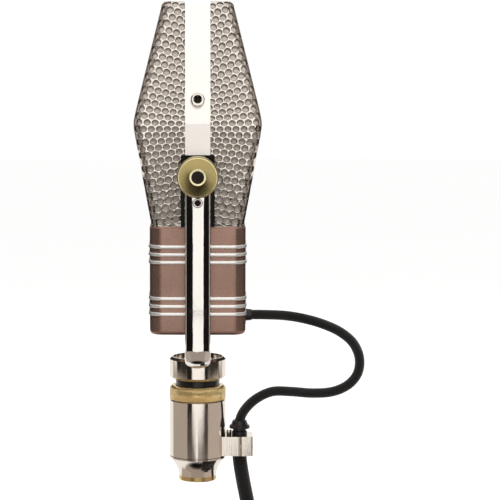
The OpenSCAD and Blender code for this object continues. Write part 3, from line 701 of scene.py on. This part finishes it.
def apply_modifiers(piece):
    bpy.context.view_layer.update()
    graph = bpy.context.evaluated_depsgraph_get()
    mesh = bpy.data.meshes.new_from_object(piece.evaluated_get(graph))
    piece.modifiers.clear()
    piece.data = mesh


# ---- Perforated grille and the cloth behind it ----

# The head's outline in mm: heights, then the half width and half depth at each
SEAM_Z, CREASE_Z, TOP_Z = 167.0, 231.5, 306.8
SEAM, CREASE, TOP = (36.0, 28.75), (41.0, 39.75), (28.0, 21.75)
SOFTNESS = (.9, 1.5)
CORNER_R, SHOULDER_R, SHEET_T, CLOTH_GAP, CLOTH_T = 5.0, 4.0, 1.2, .1, .6
HALF_GAP = .2
SHOULDER_Z = TOP_Z - SHOULDER_R
HOLE_PITCH, ROW_PITCH, HOLE_R, HOLE_SIDES, ROLL_R = 4.95, 4.25, 2.4, 20, .52
# Lowest rows of holes, and the narrowest strips left beside the band and, lower, beside the spine
SIDE_ROW_Z, SIDE_LOW_Z, FACE_ROW_Z = 169.8, 169.6, 170.2
BAND_STRIP, SPINE_STRIP, SPINE_TOP_Z = 5.6, 8.2, 212


def head_half(axis, z):
    """Half width (0) or half depth (1) of the head's outer surface, its crease softened."""
    peak = CREASE[axis] + SOFTNESS[axis] / 2
    low = SEAM[axis] + (peak - SEAM[axis]) * (z - SEAM_Z) / (CREASE_Z - SEAM_Z)
    high = peak + (TOP[axis] - peak) * (z - CREASE_Z) / (TOP_Z - CREASE_Z)
    return .5 * (low + high - math.hypot(low - high, SOFTNESS[axis]))


def head_slope(axis, z):
    """Growth of the half width or half depth per mm of height."""
    return head_half(axis, z + .5) - head_half(axis, z - .5)


def level_ring(half_x, half_y, corner, z, segments=10):
    """Level rounded rectangle, given in mm."""
    ring = []
    for q, (sx, sy) in enumerate(((1, 1), (-1, 1), (-1, -1), (1, -1))):
        for k in range(segments + 1):
            a = math.pi / 2 * (q + k / segments)
            ring.append(Vector((sx * (half_x - corner) + corner * math.cos(a),
                                sy * (half_y - corner) + corner * math.sin(a), z)) * MM)
    return ring


def head_solid(name, inset, low_z):
    """Closed solid of the head, inset from its outer surface."""
    corner = CORNER_R - inset
    levels = [low_z, 176, 190, 204, 214, 219, 223, 226, 228.5, 230, 231.5, 233, 234.5, 237, 240, 244, 250,
              262, 276, 290, SHOULDER_Z - .2]
    rings = [level_ring(head_half(0, z) - inset, head_half(1, z) - inset, corner, z) for z in levels]
    turn = SHOULDER_R - inset
    for degrees in (0, 15, 30, 45, 60, 75, 90):
        a = math.radians(degrees)
        back = inset + turn * (1 - math.cos(a))
        rings.append(level_ring(head_half(0, SHOULDER_Z) - back, head_half(1, SHOULDER_Z) - back,
                                max(corner - (back - inset) * .3, .8), SHOULDER_Z + turn * math.sin(a)))
    return lofted(name, rings)


def on_shoulder(past):
    """Depth, height and lean of a place past the start of the front's shoulder, in mm along it."""
    a = min(past / SHOULDER_R, math.pi / 2)
    return (head_half(1, SHOULDER_Z) - SHOULDER_R * (1 - math.cos(a)),
            SHOULDER_Z + SHOULDER_R * math.sin(a), a)


def row_slope(z):
    """Degrees by which the sides' rows of holes drop from the corner towards the middle."""
    return -9 + 23.5 * ease((z - 203) / 59)


def row_height(z_row, across):
    """Height of a row that starts at z_row on the corner, at a distance across the side."""
    z = z_row
    for _ in range(4):
        z = z_row - max(across, 0) * math.tan(math.radians(row_slope(z)))
    return z


def side_holes():
    """Places and outward directions of the holes in the sides and round the upright corners."""
    arc = CORNER_R * math.pi / 4
    holes = []
    row, z_row = 0, SIDE_ROW_Z
    while z_row < SHOULDER_Z + 9.5:
        offset = HOLE_PITCH / 2 if row % 2 else 0
        for column in range(9):
            s = column * HOLE_PITCH + offset
            z, above = (row_height(level, s - arc) for level in (z_row, z_row + 1))
            squash = min(above - z, 1)
            if z < SIDE_LOW_Z or z > SHOULDER_Z + 4.6:
                continue
            a = max(math.pi / 4 - s / CORNER_R, 0)
            over = max(z - SHOULDER_Z, 0) / SHOULDER_R
            z = min(z, SHOULDER_Z)
            back, rise = SHOULDER_R * (1 - math.cos(over)), math.sin(over)
            corner = CORNER_R - .3 * back
            y = head_half(1, z) - back - corner + corner * math.sin(a) - max(s - arc, 0)
            x = head_half(0, z) - back - corner + corner * math.cos(a)
            if y < (BAND_STRIP if z > SPINE_TOP_Z else SPINE_STRIP):
                continue
            lean = math.tan(over) - (math.cos(a) * head_slope(0, z) + math.sin(a) * head_slope(1, z))
            holes.append(((x, y, z + SHOULDER_R * rise), (math.cos(a), math.sin(a), lean), squash))
        lean = math.hypot(head_slope(0, z_row), head_slope(1, z_row))
        z_row += ROW_PITCH / math.hypot(1, lean)
        row += 1
    return [((sx * p[0], sy * p[1], p[2]), (sx * n[0], sy * n[1], n[2]), squash)
            for p, n, squash in holes for sx in (1, -1) for sy in (1, -1)]


def face_holes():
    """Holes in the front and the rear, in level rows counted from the middle."""
    holes = []
    row, z = 0, FACE_ROW_Z
    while z < TOP_Z - SHOULDER_R - 1.6:
        offset = HOLE_PITCH / 2 if row % 2 else 0
        limit = head_half(0, z) - CORNER_R * (1 - math.cos(math.pi / 4)) - .78 * HOLE_PITCH
        for column in range(-9, 10):
            x = column * HOLE_PITCH + offset
            if abs(x) > limit:
                continue
            for sy in (1, -1):
                holes.append(((x, sy * head_half(1, z), z), (0, sy, -head_slope(1, z)), 1))
        z += ROW_PITCH / math.hypot(1, head_slope(1, z))
        row += 1
    return holes


def shoulder_holes():
    """Holes over the rounded top edge of the front and the rear, and in the flat top."""
    holes = []
    for past, shift in ((1.2, 0), (4.6, .5)):
        y, z, a = on_shoulder(past)
        for k in range(-5, 6):
            x = (k + shift) * HOLE_PITCH
            if abs(x) < 23.5:
                holes += [((x, sy * y, z), (0, sy * math.cos(a), math.sin(a)), 1) for sy in (1, -1)]
    for row, y in enumerate((7.2, 11.4, 15.6)):
        for column in range(-6, 7):
            x = column * HOLE_PITCH + (HOLE_PITCH / 2 if row % 2 else 0)
            if abs(x) < 21.5:
                holes += [((x, sy * y, TOP_Z), (0, 0, 1), 1) for sy in (1, -1)]
    return holes


def hole_cutters(name, holes, finishes):
    """One mesh of plugs that cut the holes, each with a rolled edge at the outer face and a punched wall; the
    wall takes the second, dark finish, painted shade inside the holes.
    """
    wall_rows = 2
    stations = [(-3.2, HOLE_R - ROLL_R)]
    stations += [(-ROLL_R * (1 - math.sin(a)), HOLE_R - ROLL_R * math.cos(a))
                 for a in (math.radians(d) for d in (0, 32, 58, 76))]
    stations += [(0, HOLE_R), (1.2, HOLE_R + .02)]
    own_faces = grid_faces(len(stations), HOLE_SIDES)
    own_faces.append(list(range(HOLE_SIDES))[::-1])
    own_faces.append([(len(stations) - 1) * HOLE_SIDES + i for i in range(HOLE_SIDES)])
    points, faces = [], []
    for place, way, squash in holes:
        n = Vector(way).normalized()
        u = n.cross(Vector((0, 0, 1)) if abs(n.z) < .9 else Vector((1, 0, 0))).normalized()
        v = n.cross(u)
        first = len(points)
        for along, r in stations:
            for a in angles(HOLE_SIDES):
                points.append((Vector(place) + n * along + u * (r * math.cos(a))
                               + v * (squash * r * math.sin(a))) * MM)
        faces += [[first + i for i in f] for f in own_faces]
    piece = mesh_object(name, points, faces)
    give(piece, *finishes)
    # The punched wall's faces take the second finish, the painted shade
    wall = [int(i < wall_rows * HOLE_SIDES) for i in range(len(own_faces))]
    piece.data.polygons.foreach_set("material_index", wall * len(holes))
    return piece


BLOCK_FACES = [[0, 3, 2, 1], [4, 5, 6, 7], [0, 1, 5, 4], [1, 2, 6, 5], [2, 3, 7, 6], [3, 0, 4, 7]]


def half_space(name, side):
    """Block over everything that isn't on the given side (-1 front, 1 rear) of the middle plane."""
    y0, y1 = sorted((side * HALF_GAP, -side * 90))
    corners = [(x, y, z) for z in (100, 400) for x, y in ((-90, y0), (90, y0), (90, y1), (-90, y1))]
    return mesh_object(name, [Vector(c) * MM for c in corners], BLOCK_FACES)


def cut(piece, *tools):
    """Takes closed tools away from a closed piece, and removes the tools."""
    for tool in tools:
        step = piece.modifiers.new("cut", "BOOLEAN")
        step.operation = "DIFFERENCE"
        step.solver = "MANIFOLD"
        step.object = tool
    apply_modifiers(piece)
    for tool in tools:
        bpy.data.objects.remove(tool)


def pivot_hole(name, radius=5.2):
    """Round bar along the tilt axis, which clears the pivot's bushes."""
    middle = (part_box("pivot_bushes")[0][2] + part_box("pivot_bushes")[1][2]) / 2
    rings = [[Vector((x * MM, radius * MM * math.cos(a), middle + radius * MM * math.sin(a)))
              for a in angles(48)] for x in (-60, 60)]
    piece = lofted(name, rings)
    fix_normals(piece)
    return piece


def make_head_skins(materials):
    """The perforated sheet and the cloth lining, in a front and a rear half."""
    holes = side_holes() + face_holes() + shoulder_holes()
    for side, label in ((-1, "front"), (1, "rear")):
        own = [h for h in holes if h[0][1] * side > 0]
        sheet = head_solid("grille_" + label + "_sheet", 0, SEAM_Z)
        finishes = [materials["grille_nickel"], materials["grille_edge"]]
        give(sheet, *finishes)
        cut(sheet, head_solid("hollow", SHEET_T, SEAM_Z - 1), half_space("other_half", side),
            pivot_hole("pivot"), hole_cutters("holes", own, finishes))
        soften(sheet, 32)
        weigh_normals(sheet)
        declare(sheet, "head", "grille_nickel", "grille_" + label)
        outer = SHEET_T + CLOTH_GAP
        lining = head_solid("cloth_" + label + "_lining", outer, SEAM_Z)
        cut(lining, head_solid("hollow", outer + CLOTH_T, SEAM_Z - 1), half_space("other_half", side),
            pivot_hole("pivot"))
        soften(lining, 40)
        give(lining, materials["grey_cloth"])
        declare(lining, "head", "grey_cloth", "cloth_" + label)


# ---- Yoke ----

def oval(half_w, half_t, power, count=40):
    """Section of the bent tube: (across, thickness) pairs round a fattened oval."""
    out = []
    for a in angles(count):
        c, d = math.cos(a), math.sin(a)
        out.append((half_w * math.copysign(abs(c) ** (2 / power), c),
                    half_t * math.copysign(abs(d) ** (2 / power), d)))
    return out


def make_yoke(materials):
    """The bent oval tube: two arms with rounded tops and the crossbar, in one sweep."""
    low, high = box_mm("yoke_tube")
    half_w, thick, bend_r = high[1], 9.0, 8.0
    arm_x, bar_z = high[0] - thick / 2, low[2] + thick / 2
    pivot_z = high[2] - half_w
    # Each station: across, height, turn in degrees, half width, and the power that fattens its oval
    stations = []
    for degrees in (88, 80, 70, 58, 46, 34, 22, 10, 0):
        a = math.radians(degrees)
        stations.append((arm_x, pivot_z + half_w * math.sin(a), 0, half_w * math.cos(a), 3.2))
    for z, power in ((194, 2.6), (188, 2.3), (180, 2.15), (150, 2.1), (110, 2.1),
                     (bar_z + bend_r + 1.2, 2.1), (bar_z + bend_r + .3, 2.1)):
        stations.append((arm_x, z, 0, half_w, power))
    for degrees in range(0, 91, 6):
        a = math.radians(degrees)
        stations.append((arm_x - bend_r + bend_r * math.cos(a), bar_z + bend_r - bend_r * math.sin(a),
                         degrees, half_w, 2.1))
    stations.append((9, bar_z, 90, half_w, 2.1))
    stations += [(-x, z, 180 - turn, w, p) for x, z, turn, w, p in reversed(stations)]
    rings = []
    for x, z, turn, w, power in stations:
        a = math.radians(turn)
        rings.append([Vector((x + t * math.cos(a), y, z - t * math.sin(a))) * MM
                      for y, t in oval(w, thick / 2, power)])
    tube = lofted("yoke_tube_bent", rings)
    fix_normals(tube)
    bore = pivot_hole("bore", 5.1)
    well = lofted("well", [[Vector((r * math.cos(a), r * math.sin(a), z)) * MM for a in angles(32)]
                           for z, r in ((bar_z - 6, 3.6), (bar_z + 2, 3.6), (bar_z + 5, 6.8))])
    fix_normals(well)
    cut(tube, bore, well)
    soften(tube, 35)
    give(tube, materials["polished_chrome"])
    declare(tube, "yoke", "polished_chrome", "yoke_tube")


# ---- Case trim and band ----

def make_trim(group, materials):
    """Three flat-topped bands with rounded edges about the case, cut away round the gland."""
    low, high = box_mm(group)
    band_h, proud, sunk, corner = 2.2, .7, .3, 8.4
    half_x, half_y = high[0] - proud, high[1] - proud
    pitch = (high[2] - low[2] - band_h) / 2
    gland_low, gland_high = box_mm("cable_gland")
    section = [(-sunk, -1.1), (.1, -1.1), (.42, -1.02), (.6, -.85), (.68, -.6), (proud, -.3)]
    section += [(grow, -h) for grow, h in reversed(section)]
    points, faces = [], []
    for band in range(3):
        middle = low[2] + band_h / 2 + band * pitch
        first = len(points)
        columns = [level_ring(half_x + grow, half_y + grow, corner + grow, middle + h, 12)
                   for grow, h in section]
        for ring in zip(*columns):
            points += ring
        faces += [[first + i for i in (a, d, c, b)]
                  for a, b, c, d in hoop_faces(len(columns[0]), len(section))]
    piece = mesh_object(group + "_half_round", points, faces)
    fix_normals(piece)
    middle = (gland_low[2] + gland_high[2]) / 2
    if low[2] < middle + 7:
        notch_r = 6.6
        notch = lofted("notch", [[Vector((notch_r * math.cos(a), y, middle + notch_r * math.sin(a))) * MM
                                  for a in angles(40)] for y in (20, 40)])
        fix_normals(notch)
        cut(piece, notch)
    soften(piece, 40)
    give(piece, materials["satin_trim"])
    declare(piece, "head", "polished_chrome", group)


# ---- Clamping knobs and the band's screws ----

def body_of(node):
    """Name of the body that a CAD node rides on."""
    return next(n for n, holder in frame["bodies"].items() if frame["nodes"][node].parent == holder)


def make_knob(side, label, materials):
    """Turned brass knob: a coned face with a bevelled rim, and a counterbore with a lip; a narrow ring of the
    rim's bevel and the lip are painted a paler brass as a highlight.
    """
    node = "knob_" + label
    low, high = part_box(node)
    sides, painted_highlight_faces = 128, (6, 8, 9)
    middle = (low[2] + high[2]) / 2
    r, thick = (high[2] - low[2]) / 2 / MM, (high[0] - low[0]) / MM
    inner = (low[0] if side > 0 else -high[0]) / MM
    profile = [(3.1, 0), (r - .6, 0), (r - .2, .2), (r, .6), (r, thick - 1.5), (r - .12, thick - 1.15),
               (r - .75, thick - .5), (r - 1.15, thick - .42), (5.2, thick - .1), (5.0, thick),
               (4.0, thick - .08), (3.8, thick - .3), (3.8, thick - 1.4), (3.8, thick - 4.4),
               (3.1, thick - 4.4)]
    placed = [(p, side * (inner + h)) for p, h in profile]
    piece = turned(node + "_turned", placed, (0, 0, middle), "X", sides)
    soften(piece, 24)
    give(piece, materials["knob_brass"], materials["knob_lip"])
    # The bevel ring and the lip take the paler brass, a painted highlight
    painted_highlight_mask = [int(k in painted_highlight_faces) for k in range(len(profile))]
    piece.data.polygons.foreach_set("material_index", painted_highlight_mask * sides)
    declare(piece, body_of(node), "knob_brass", node)


def cone(name, start, end, radius, far_radius):
    """Closed cone cut off between two points, in mm."""
    u = (end - start).orthogonal().normalized()
    v = (end - start).normalized().cross(u)
    piece = lofted(name, [[(p + (math.cos(a) * u + math.sin(a) * v) * r) * MM for a in angles(40)]
                          for p, r in ((start, radius), (end, far_radius))])
    fix_normals(piece)
    return piece


def slot_bar(name, place, out, along, half_long, half_wide, depth):
    """Block that cuts a slot into a face at a place, in mm."""
    across = out.cross(along)
    corners = [(place + along * (half_long * i) + across * (half_wide * j) + out * h) * MM
               for h in (-depth, 2) for i, j in ((-1, -1), (1, -1), (1, 1), (-1, 1))]
    piece = mesh_object(name, corners, BLOCK_FACES)
    fix_normals(piece)
    return piece


def make_band_screws(materials):
    """Domed screws through the band, each with a cross recess painted near-black as shade, in a bright rim.
    """
    low, high = box_mm("band_screws")
    middle = (low[2] + high[2]) / 2
    lean = math.atan((CREASE[0] - TOP[0]) / (TOP_Z - CREASE_Z))
    finishes = [materials["nickel"], materials["recess_black"]]
    for side, label in ((-1, "left"), (1, "right")):
        out = Vector((side * math.cos(lean), 0, math.sin(lean)))
        face = Vector((side * high[0], 0, middle)) - out * .7
        along, across = out.cross(Vector((0, 1, 0))), Vector((0, 1, 0))
        rings = [[(face + out * h + (along * math.cos(a) + across * math.sin(a)) * r) * MM
                  for a in angles(48)]
                 for h, r in ((-1.2, 2.1), (-.1, 2.1), (-.1, 4.25), (.35, 4.3), (.7, 4.0), (.9, 3.4))]
        screw = lofted("band_screw_" + label, rings)
        fix_normals(screw)
        give(screw, *finishes)
        tools = [cone("recess", face - out * .05, face + out * 1.3, 1.2, 3.35)]
        tools += [slot_bar("slot", face + out * .1, out, way, 2.4, .5, .75) for way in (along, across)]
        # The recess and the slots take the second finish, painted shade
        for tool in tools:
            give(tool, *finishes)
            tool.data.polygons.foreach_set("material_index", [1] * len(tool.data.polygons))
        cut(screw, *tools)
        soften(screw, 30)
        declare(screw, "head", "nickel", "band_screws")


def make_arm_eye(side, label, materials):
    """Small raised eye on the arm below the knob, whose cup is painted near-black as shade; what it is for
    isn't known.
    """
    sides, cup_faces = 48, (1, 2)
    knob_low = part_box("knob_right")[0][2] / MM
    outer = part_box("yoke_tube")[1][0] / MM
    profile = [(0, outer - 1.2), (0, outer + .05), (1.5, outer + .05), (1.75, outer + .35), (2.1, outer + .6),
               (2.6, outer + .65), (3.0, outer + .4), (3.15, outer - .2), (3.15, outer - 1.2)]
    placed = [(r, side * h) for r, h in profile]
    piece = turned("arm_eye_" + label, placed, (0, 0, (knob_low - 3.6) * MM), "X", sides)
    soften(piece, 50)
    give(piece, materials["polished_chrome"], materials["recess_black"])
    # The cup's faces take the second finish, painted shade
    dark = [int(k in cup_faces) for k in range(len(profile))]
    piece.data.polygons.foreach_set("material_index", dark * sides)
    declare(piece, "yoke", "polished_chrome", "yoke_tube")


# ---- Lock ring ----

def make_lock_ring(materials):
    """Ring with upright knurls round its edge, and a chamfered top."""
    low, high = box_mm("lock_ring")
    outer = (high[0] - low[0]) / 2
    z0, z1 = low[2], high[2]
    inner, recess, recess_z = 10.06, 14.3, z1 - 4.4
    knurls, steps, knurl_depth = 108, 6, .3
    body = [(inner, z0), (outer - .55, z0), (outer - .25, z0 + .35), (outer - .1, z0 + .6)]
    body += [(outer - .1, z1 - 1.7), (outer - .4, z1 - 1.1), (outer - 1.5, z1), (recess, z1),
             (recess, recess_z), (inner, recess_z)]

    def radius_of(r, i):
        if r < outer - .3:
            return r
        return r + .1 - (knurl_depth if i % steps == 0 else 0)

    piece = turned("lock_ring_knurled", body, (0, 0, 0), sides=knurls * steps, radius_of=radius_of)
    soften(piece, 50)
    give(piece, materials["knurled_brass"])
    declare(piece, "lock_ring", "knurled_brass", "lock_ring")


# ---- Studio ----

DARK, WALL, LOW = (.008, .006, .005), (.95, .93, .9), (.36, .30, .26)
KEY_X = 1.9


def area_light(name, place, target, size, power, colour=(1, 1, 1)):
    """Rectangular lamp aimed at a target."""
    light = bpy.data.lights.new(name, "AREA")
    light.shape = "RECTANGLE"
    light.size, light.size_y = size
    light.energy = power
    light.color = colour
    holder = bpy.data.objects.new(name, light)
    holder.location = place
    holder.rotation_euler = (Vector(target) - Vector(place)).to_track_quat("-Z", "Y").to_euler()
    holder.visible_camera = False
    bpy.context.scene.collection.objects.link(holder)
    return holder


def glow_fan(name, corners, colour):
    """Card between an inner and an outer arc, given one after the other."""
    half = len(corners) // 2
    faces = [[i, i + 1, 2 * half - 2 - i, 2 * half - 1 - i] for i in range(half - 1)]
    glow_card(name, corners, colour, faces)


def glow_card(name, corners, colour, faces=None):
    """Soft panel that only reflections see."""
    card = mesh_object(name, [Vector(c) for c in corners], faces or [list(range(len(corners)))])
    m = Nodes(name + "_glow", Base_Color=(0, 0, 0, 1), Emission_Strength=1.0, Emission_Color=(*colour, 1))
    m.paint(None, m.spread(m.noise(2, 1), .9, 1))
    card.data.materials.append(m.material)
    card.visible_camera = card.visible_diffuse = card.visible_shadow = False


def upright_card(name, y, xs, zs, colour):
    """Oblong card across the view, from one x and z to the other."""
    glow_card(name, [(xs[0], y, zs[0]), (xs[1], y, zs[0]), (xs[1], y, zs[1]), (xs[0], y, zs[1])], colour)


def make_world():
    """Plain white surroundings; polished surfaces see a pale wall behind and a dark room beside them."""
    world = bpy.data.worlds.new("studio")
    bpy.context.scene.world = world
    world.use_nodes = True
    w = Tree(world.node_tree)
    parts = w.node("SeparateXYZ", {0: w.node("TexCoord").outputs["Generated"]}).outputs

    def ramp(value, *stops):
        """Colours by one part of the direction, from -1 to 1."""
        share = w.node("MapRange", {"Value": value, "From Min": -1}).outputs[0]
        return w.shades(share, *[((at + 1) / 2, colour) for at, colour in stops])

    def plain(colour, strength):
        return w.node("Background", {"Color": (*colour, 1), "Strength": strength}).outputs[0]

    round_it = ramp(parts["X"], (-.2, WALL), (-.04, DARK), (1, DARK))
    height = ramp(parts["Z"], (-.96, DARK), (-.9, LOW), (-.215, LOW), (-.195, DARK), (.5, DARK), (.75, WALL))
    joined = w.node("Mix", {0: 1, 6: round_it, 7: height}, data_type="RGBA", blend_type="LIGHTEN")
    room = w.node("Background", {"Color": joined.outputs[2]}).outputs[0]
    ray = w.node("LightPath").outputs
    soft = w.node("MixShader", {"Fac": ray["Is Diffuse Ray"], 1: plain((1, 1, 1), 1.0),
                                2: plain((1, .98, .96), .22)}).outputs[0]
    mix = w.node("MixShader", {"Fac": ray["Is Glossy Ray"], 1: soft, 2: room}).outputs[0]
    w.node("OutputWorld", {"Surface": mix})


def make_floor():
    """Plain pale disc just under the lowest part."""
    floor_z, radius, sides = cad_low[2] - .004, 6, 64
    ring = [Vector((radius * math.cos(a), radius * math.sin(a), floor_z)) for a in angles(sides)]
    floor = mesh_object("floor", ring, [list(range(sides))])
    m = Nodes("floor_pale", Roughness=.95, Emission_Strength=.8, Emission_Color=(1, 1, 1, 1))
    m.paint(m.shades(m.noise(2, 2), (.3, (.48, .48, .48)), (.7, (.5, .5, .5))))
    floor.data.materials.append(m.material)
    floor.visible_glossy = floor.visible_diffuse = False


def make_studio():
    """Lights that reflections don't see, and cards that only reflections see."""
    make_world()
    make_floor()
    key = area_light("key", (KEY_X, .06, .5), (0, .06, .4), (1.7, 1.9), 12.5)
    top = area_light("top", (.85, .12, 1.5), (0, 0, .2), (.35, .35), 20)
    back = area_light("back", (-1.9, -.2, .9), (0, 0, .15), (1.6, 1.6), 5, (1, .98, .96))
    key.visible_glossy = top.visible_glossy = back.visible_glossy = False
    glow_card("key_card", [(KEY_X, -.8, 1.7), (KEY_X, -.8, -.33), (KEY_X, -.28, -.36), (KEY_X, -.1, -.42),
                           (KEY_X, .065, -.42), (KEY_X, .08, -.338), (KEY_X, .5, -.338), (KEY_X, 1.02, -.33),
                           (KEY_X, 1.02, 1.7)], (1.08, 1.06, 1.02))
    # The fan is a cone about the right arm, which keeps the arm's flanks dark
    arm_x, fan_z, fan_fall = .052, .115, .1353
    fan = [(.11, a) for a in range(-60, 61, 5)] + [(.66, a) for a in range(60, -61, -5)]
    glow_fan("dark_fan", [(arm_x + r * math.cos(math.radians(a)), r * math.sin(math.radians(a)),
                           fan_z - fan_fall * r) for r, a in fan], DARK)
    for side in (-1, 1):
        upright_card(f"high_card_{side}", side * .4, (0, .7), (.21, .6), (.30, .26, .23))
        upright_card(f"flag_{side}", side * .13, (.02, -.4), (.187, .6), (.16, .135, .12))
        upright_card(f"case_flag_{side}", side * .07, (.03, -.35), (.085, .187), (.02, .015, .012))
        glow_card(f"low_card_{side}", [(.33, side * .3, -.4), (-.2, side * .36, -.4), (-.2, side * .36, .024),
                                       (.1, side * .3, .02), (.33, side * .3, -.004)],
                  tint((.44, .375, .325), 1.1 if side > 0 else .95))


# ---- Build ----

make_camera()
materials = make_materials()
make_leads(materials)
dress_nodes(materials)
make_head_skins(materials)
make_lock_ring(materials)
make_yoke(materials)
for side, label in ((-1, "left"), (1, "right")):
    make_knob(side, label, materials)
    make_arm_eye(side, label, materials)
make_band_screws(materials)
for node in ("clamp_body", "clamp_cap"):
    rounded_copy(node, .0007, materials, "nickel", "yoke")
make_trim("trim_bands_upper", materials)
make_trim("trim_bands_lower", materials)
make_studio()
bpy.context.scene.view_settings.view_transform = "Standard"
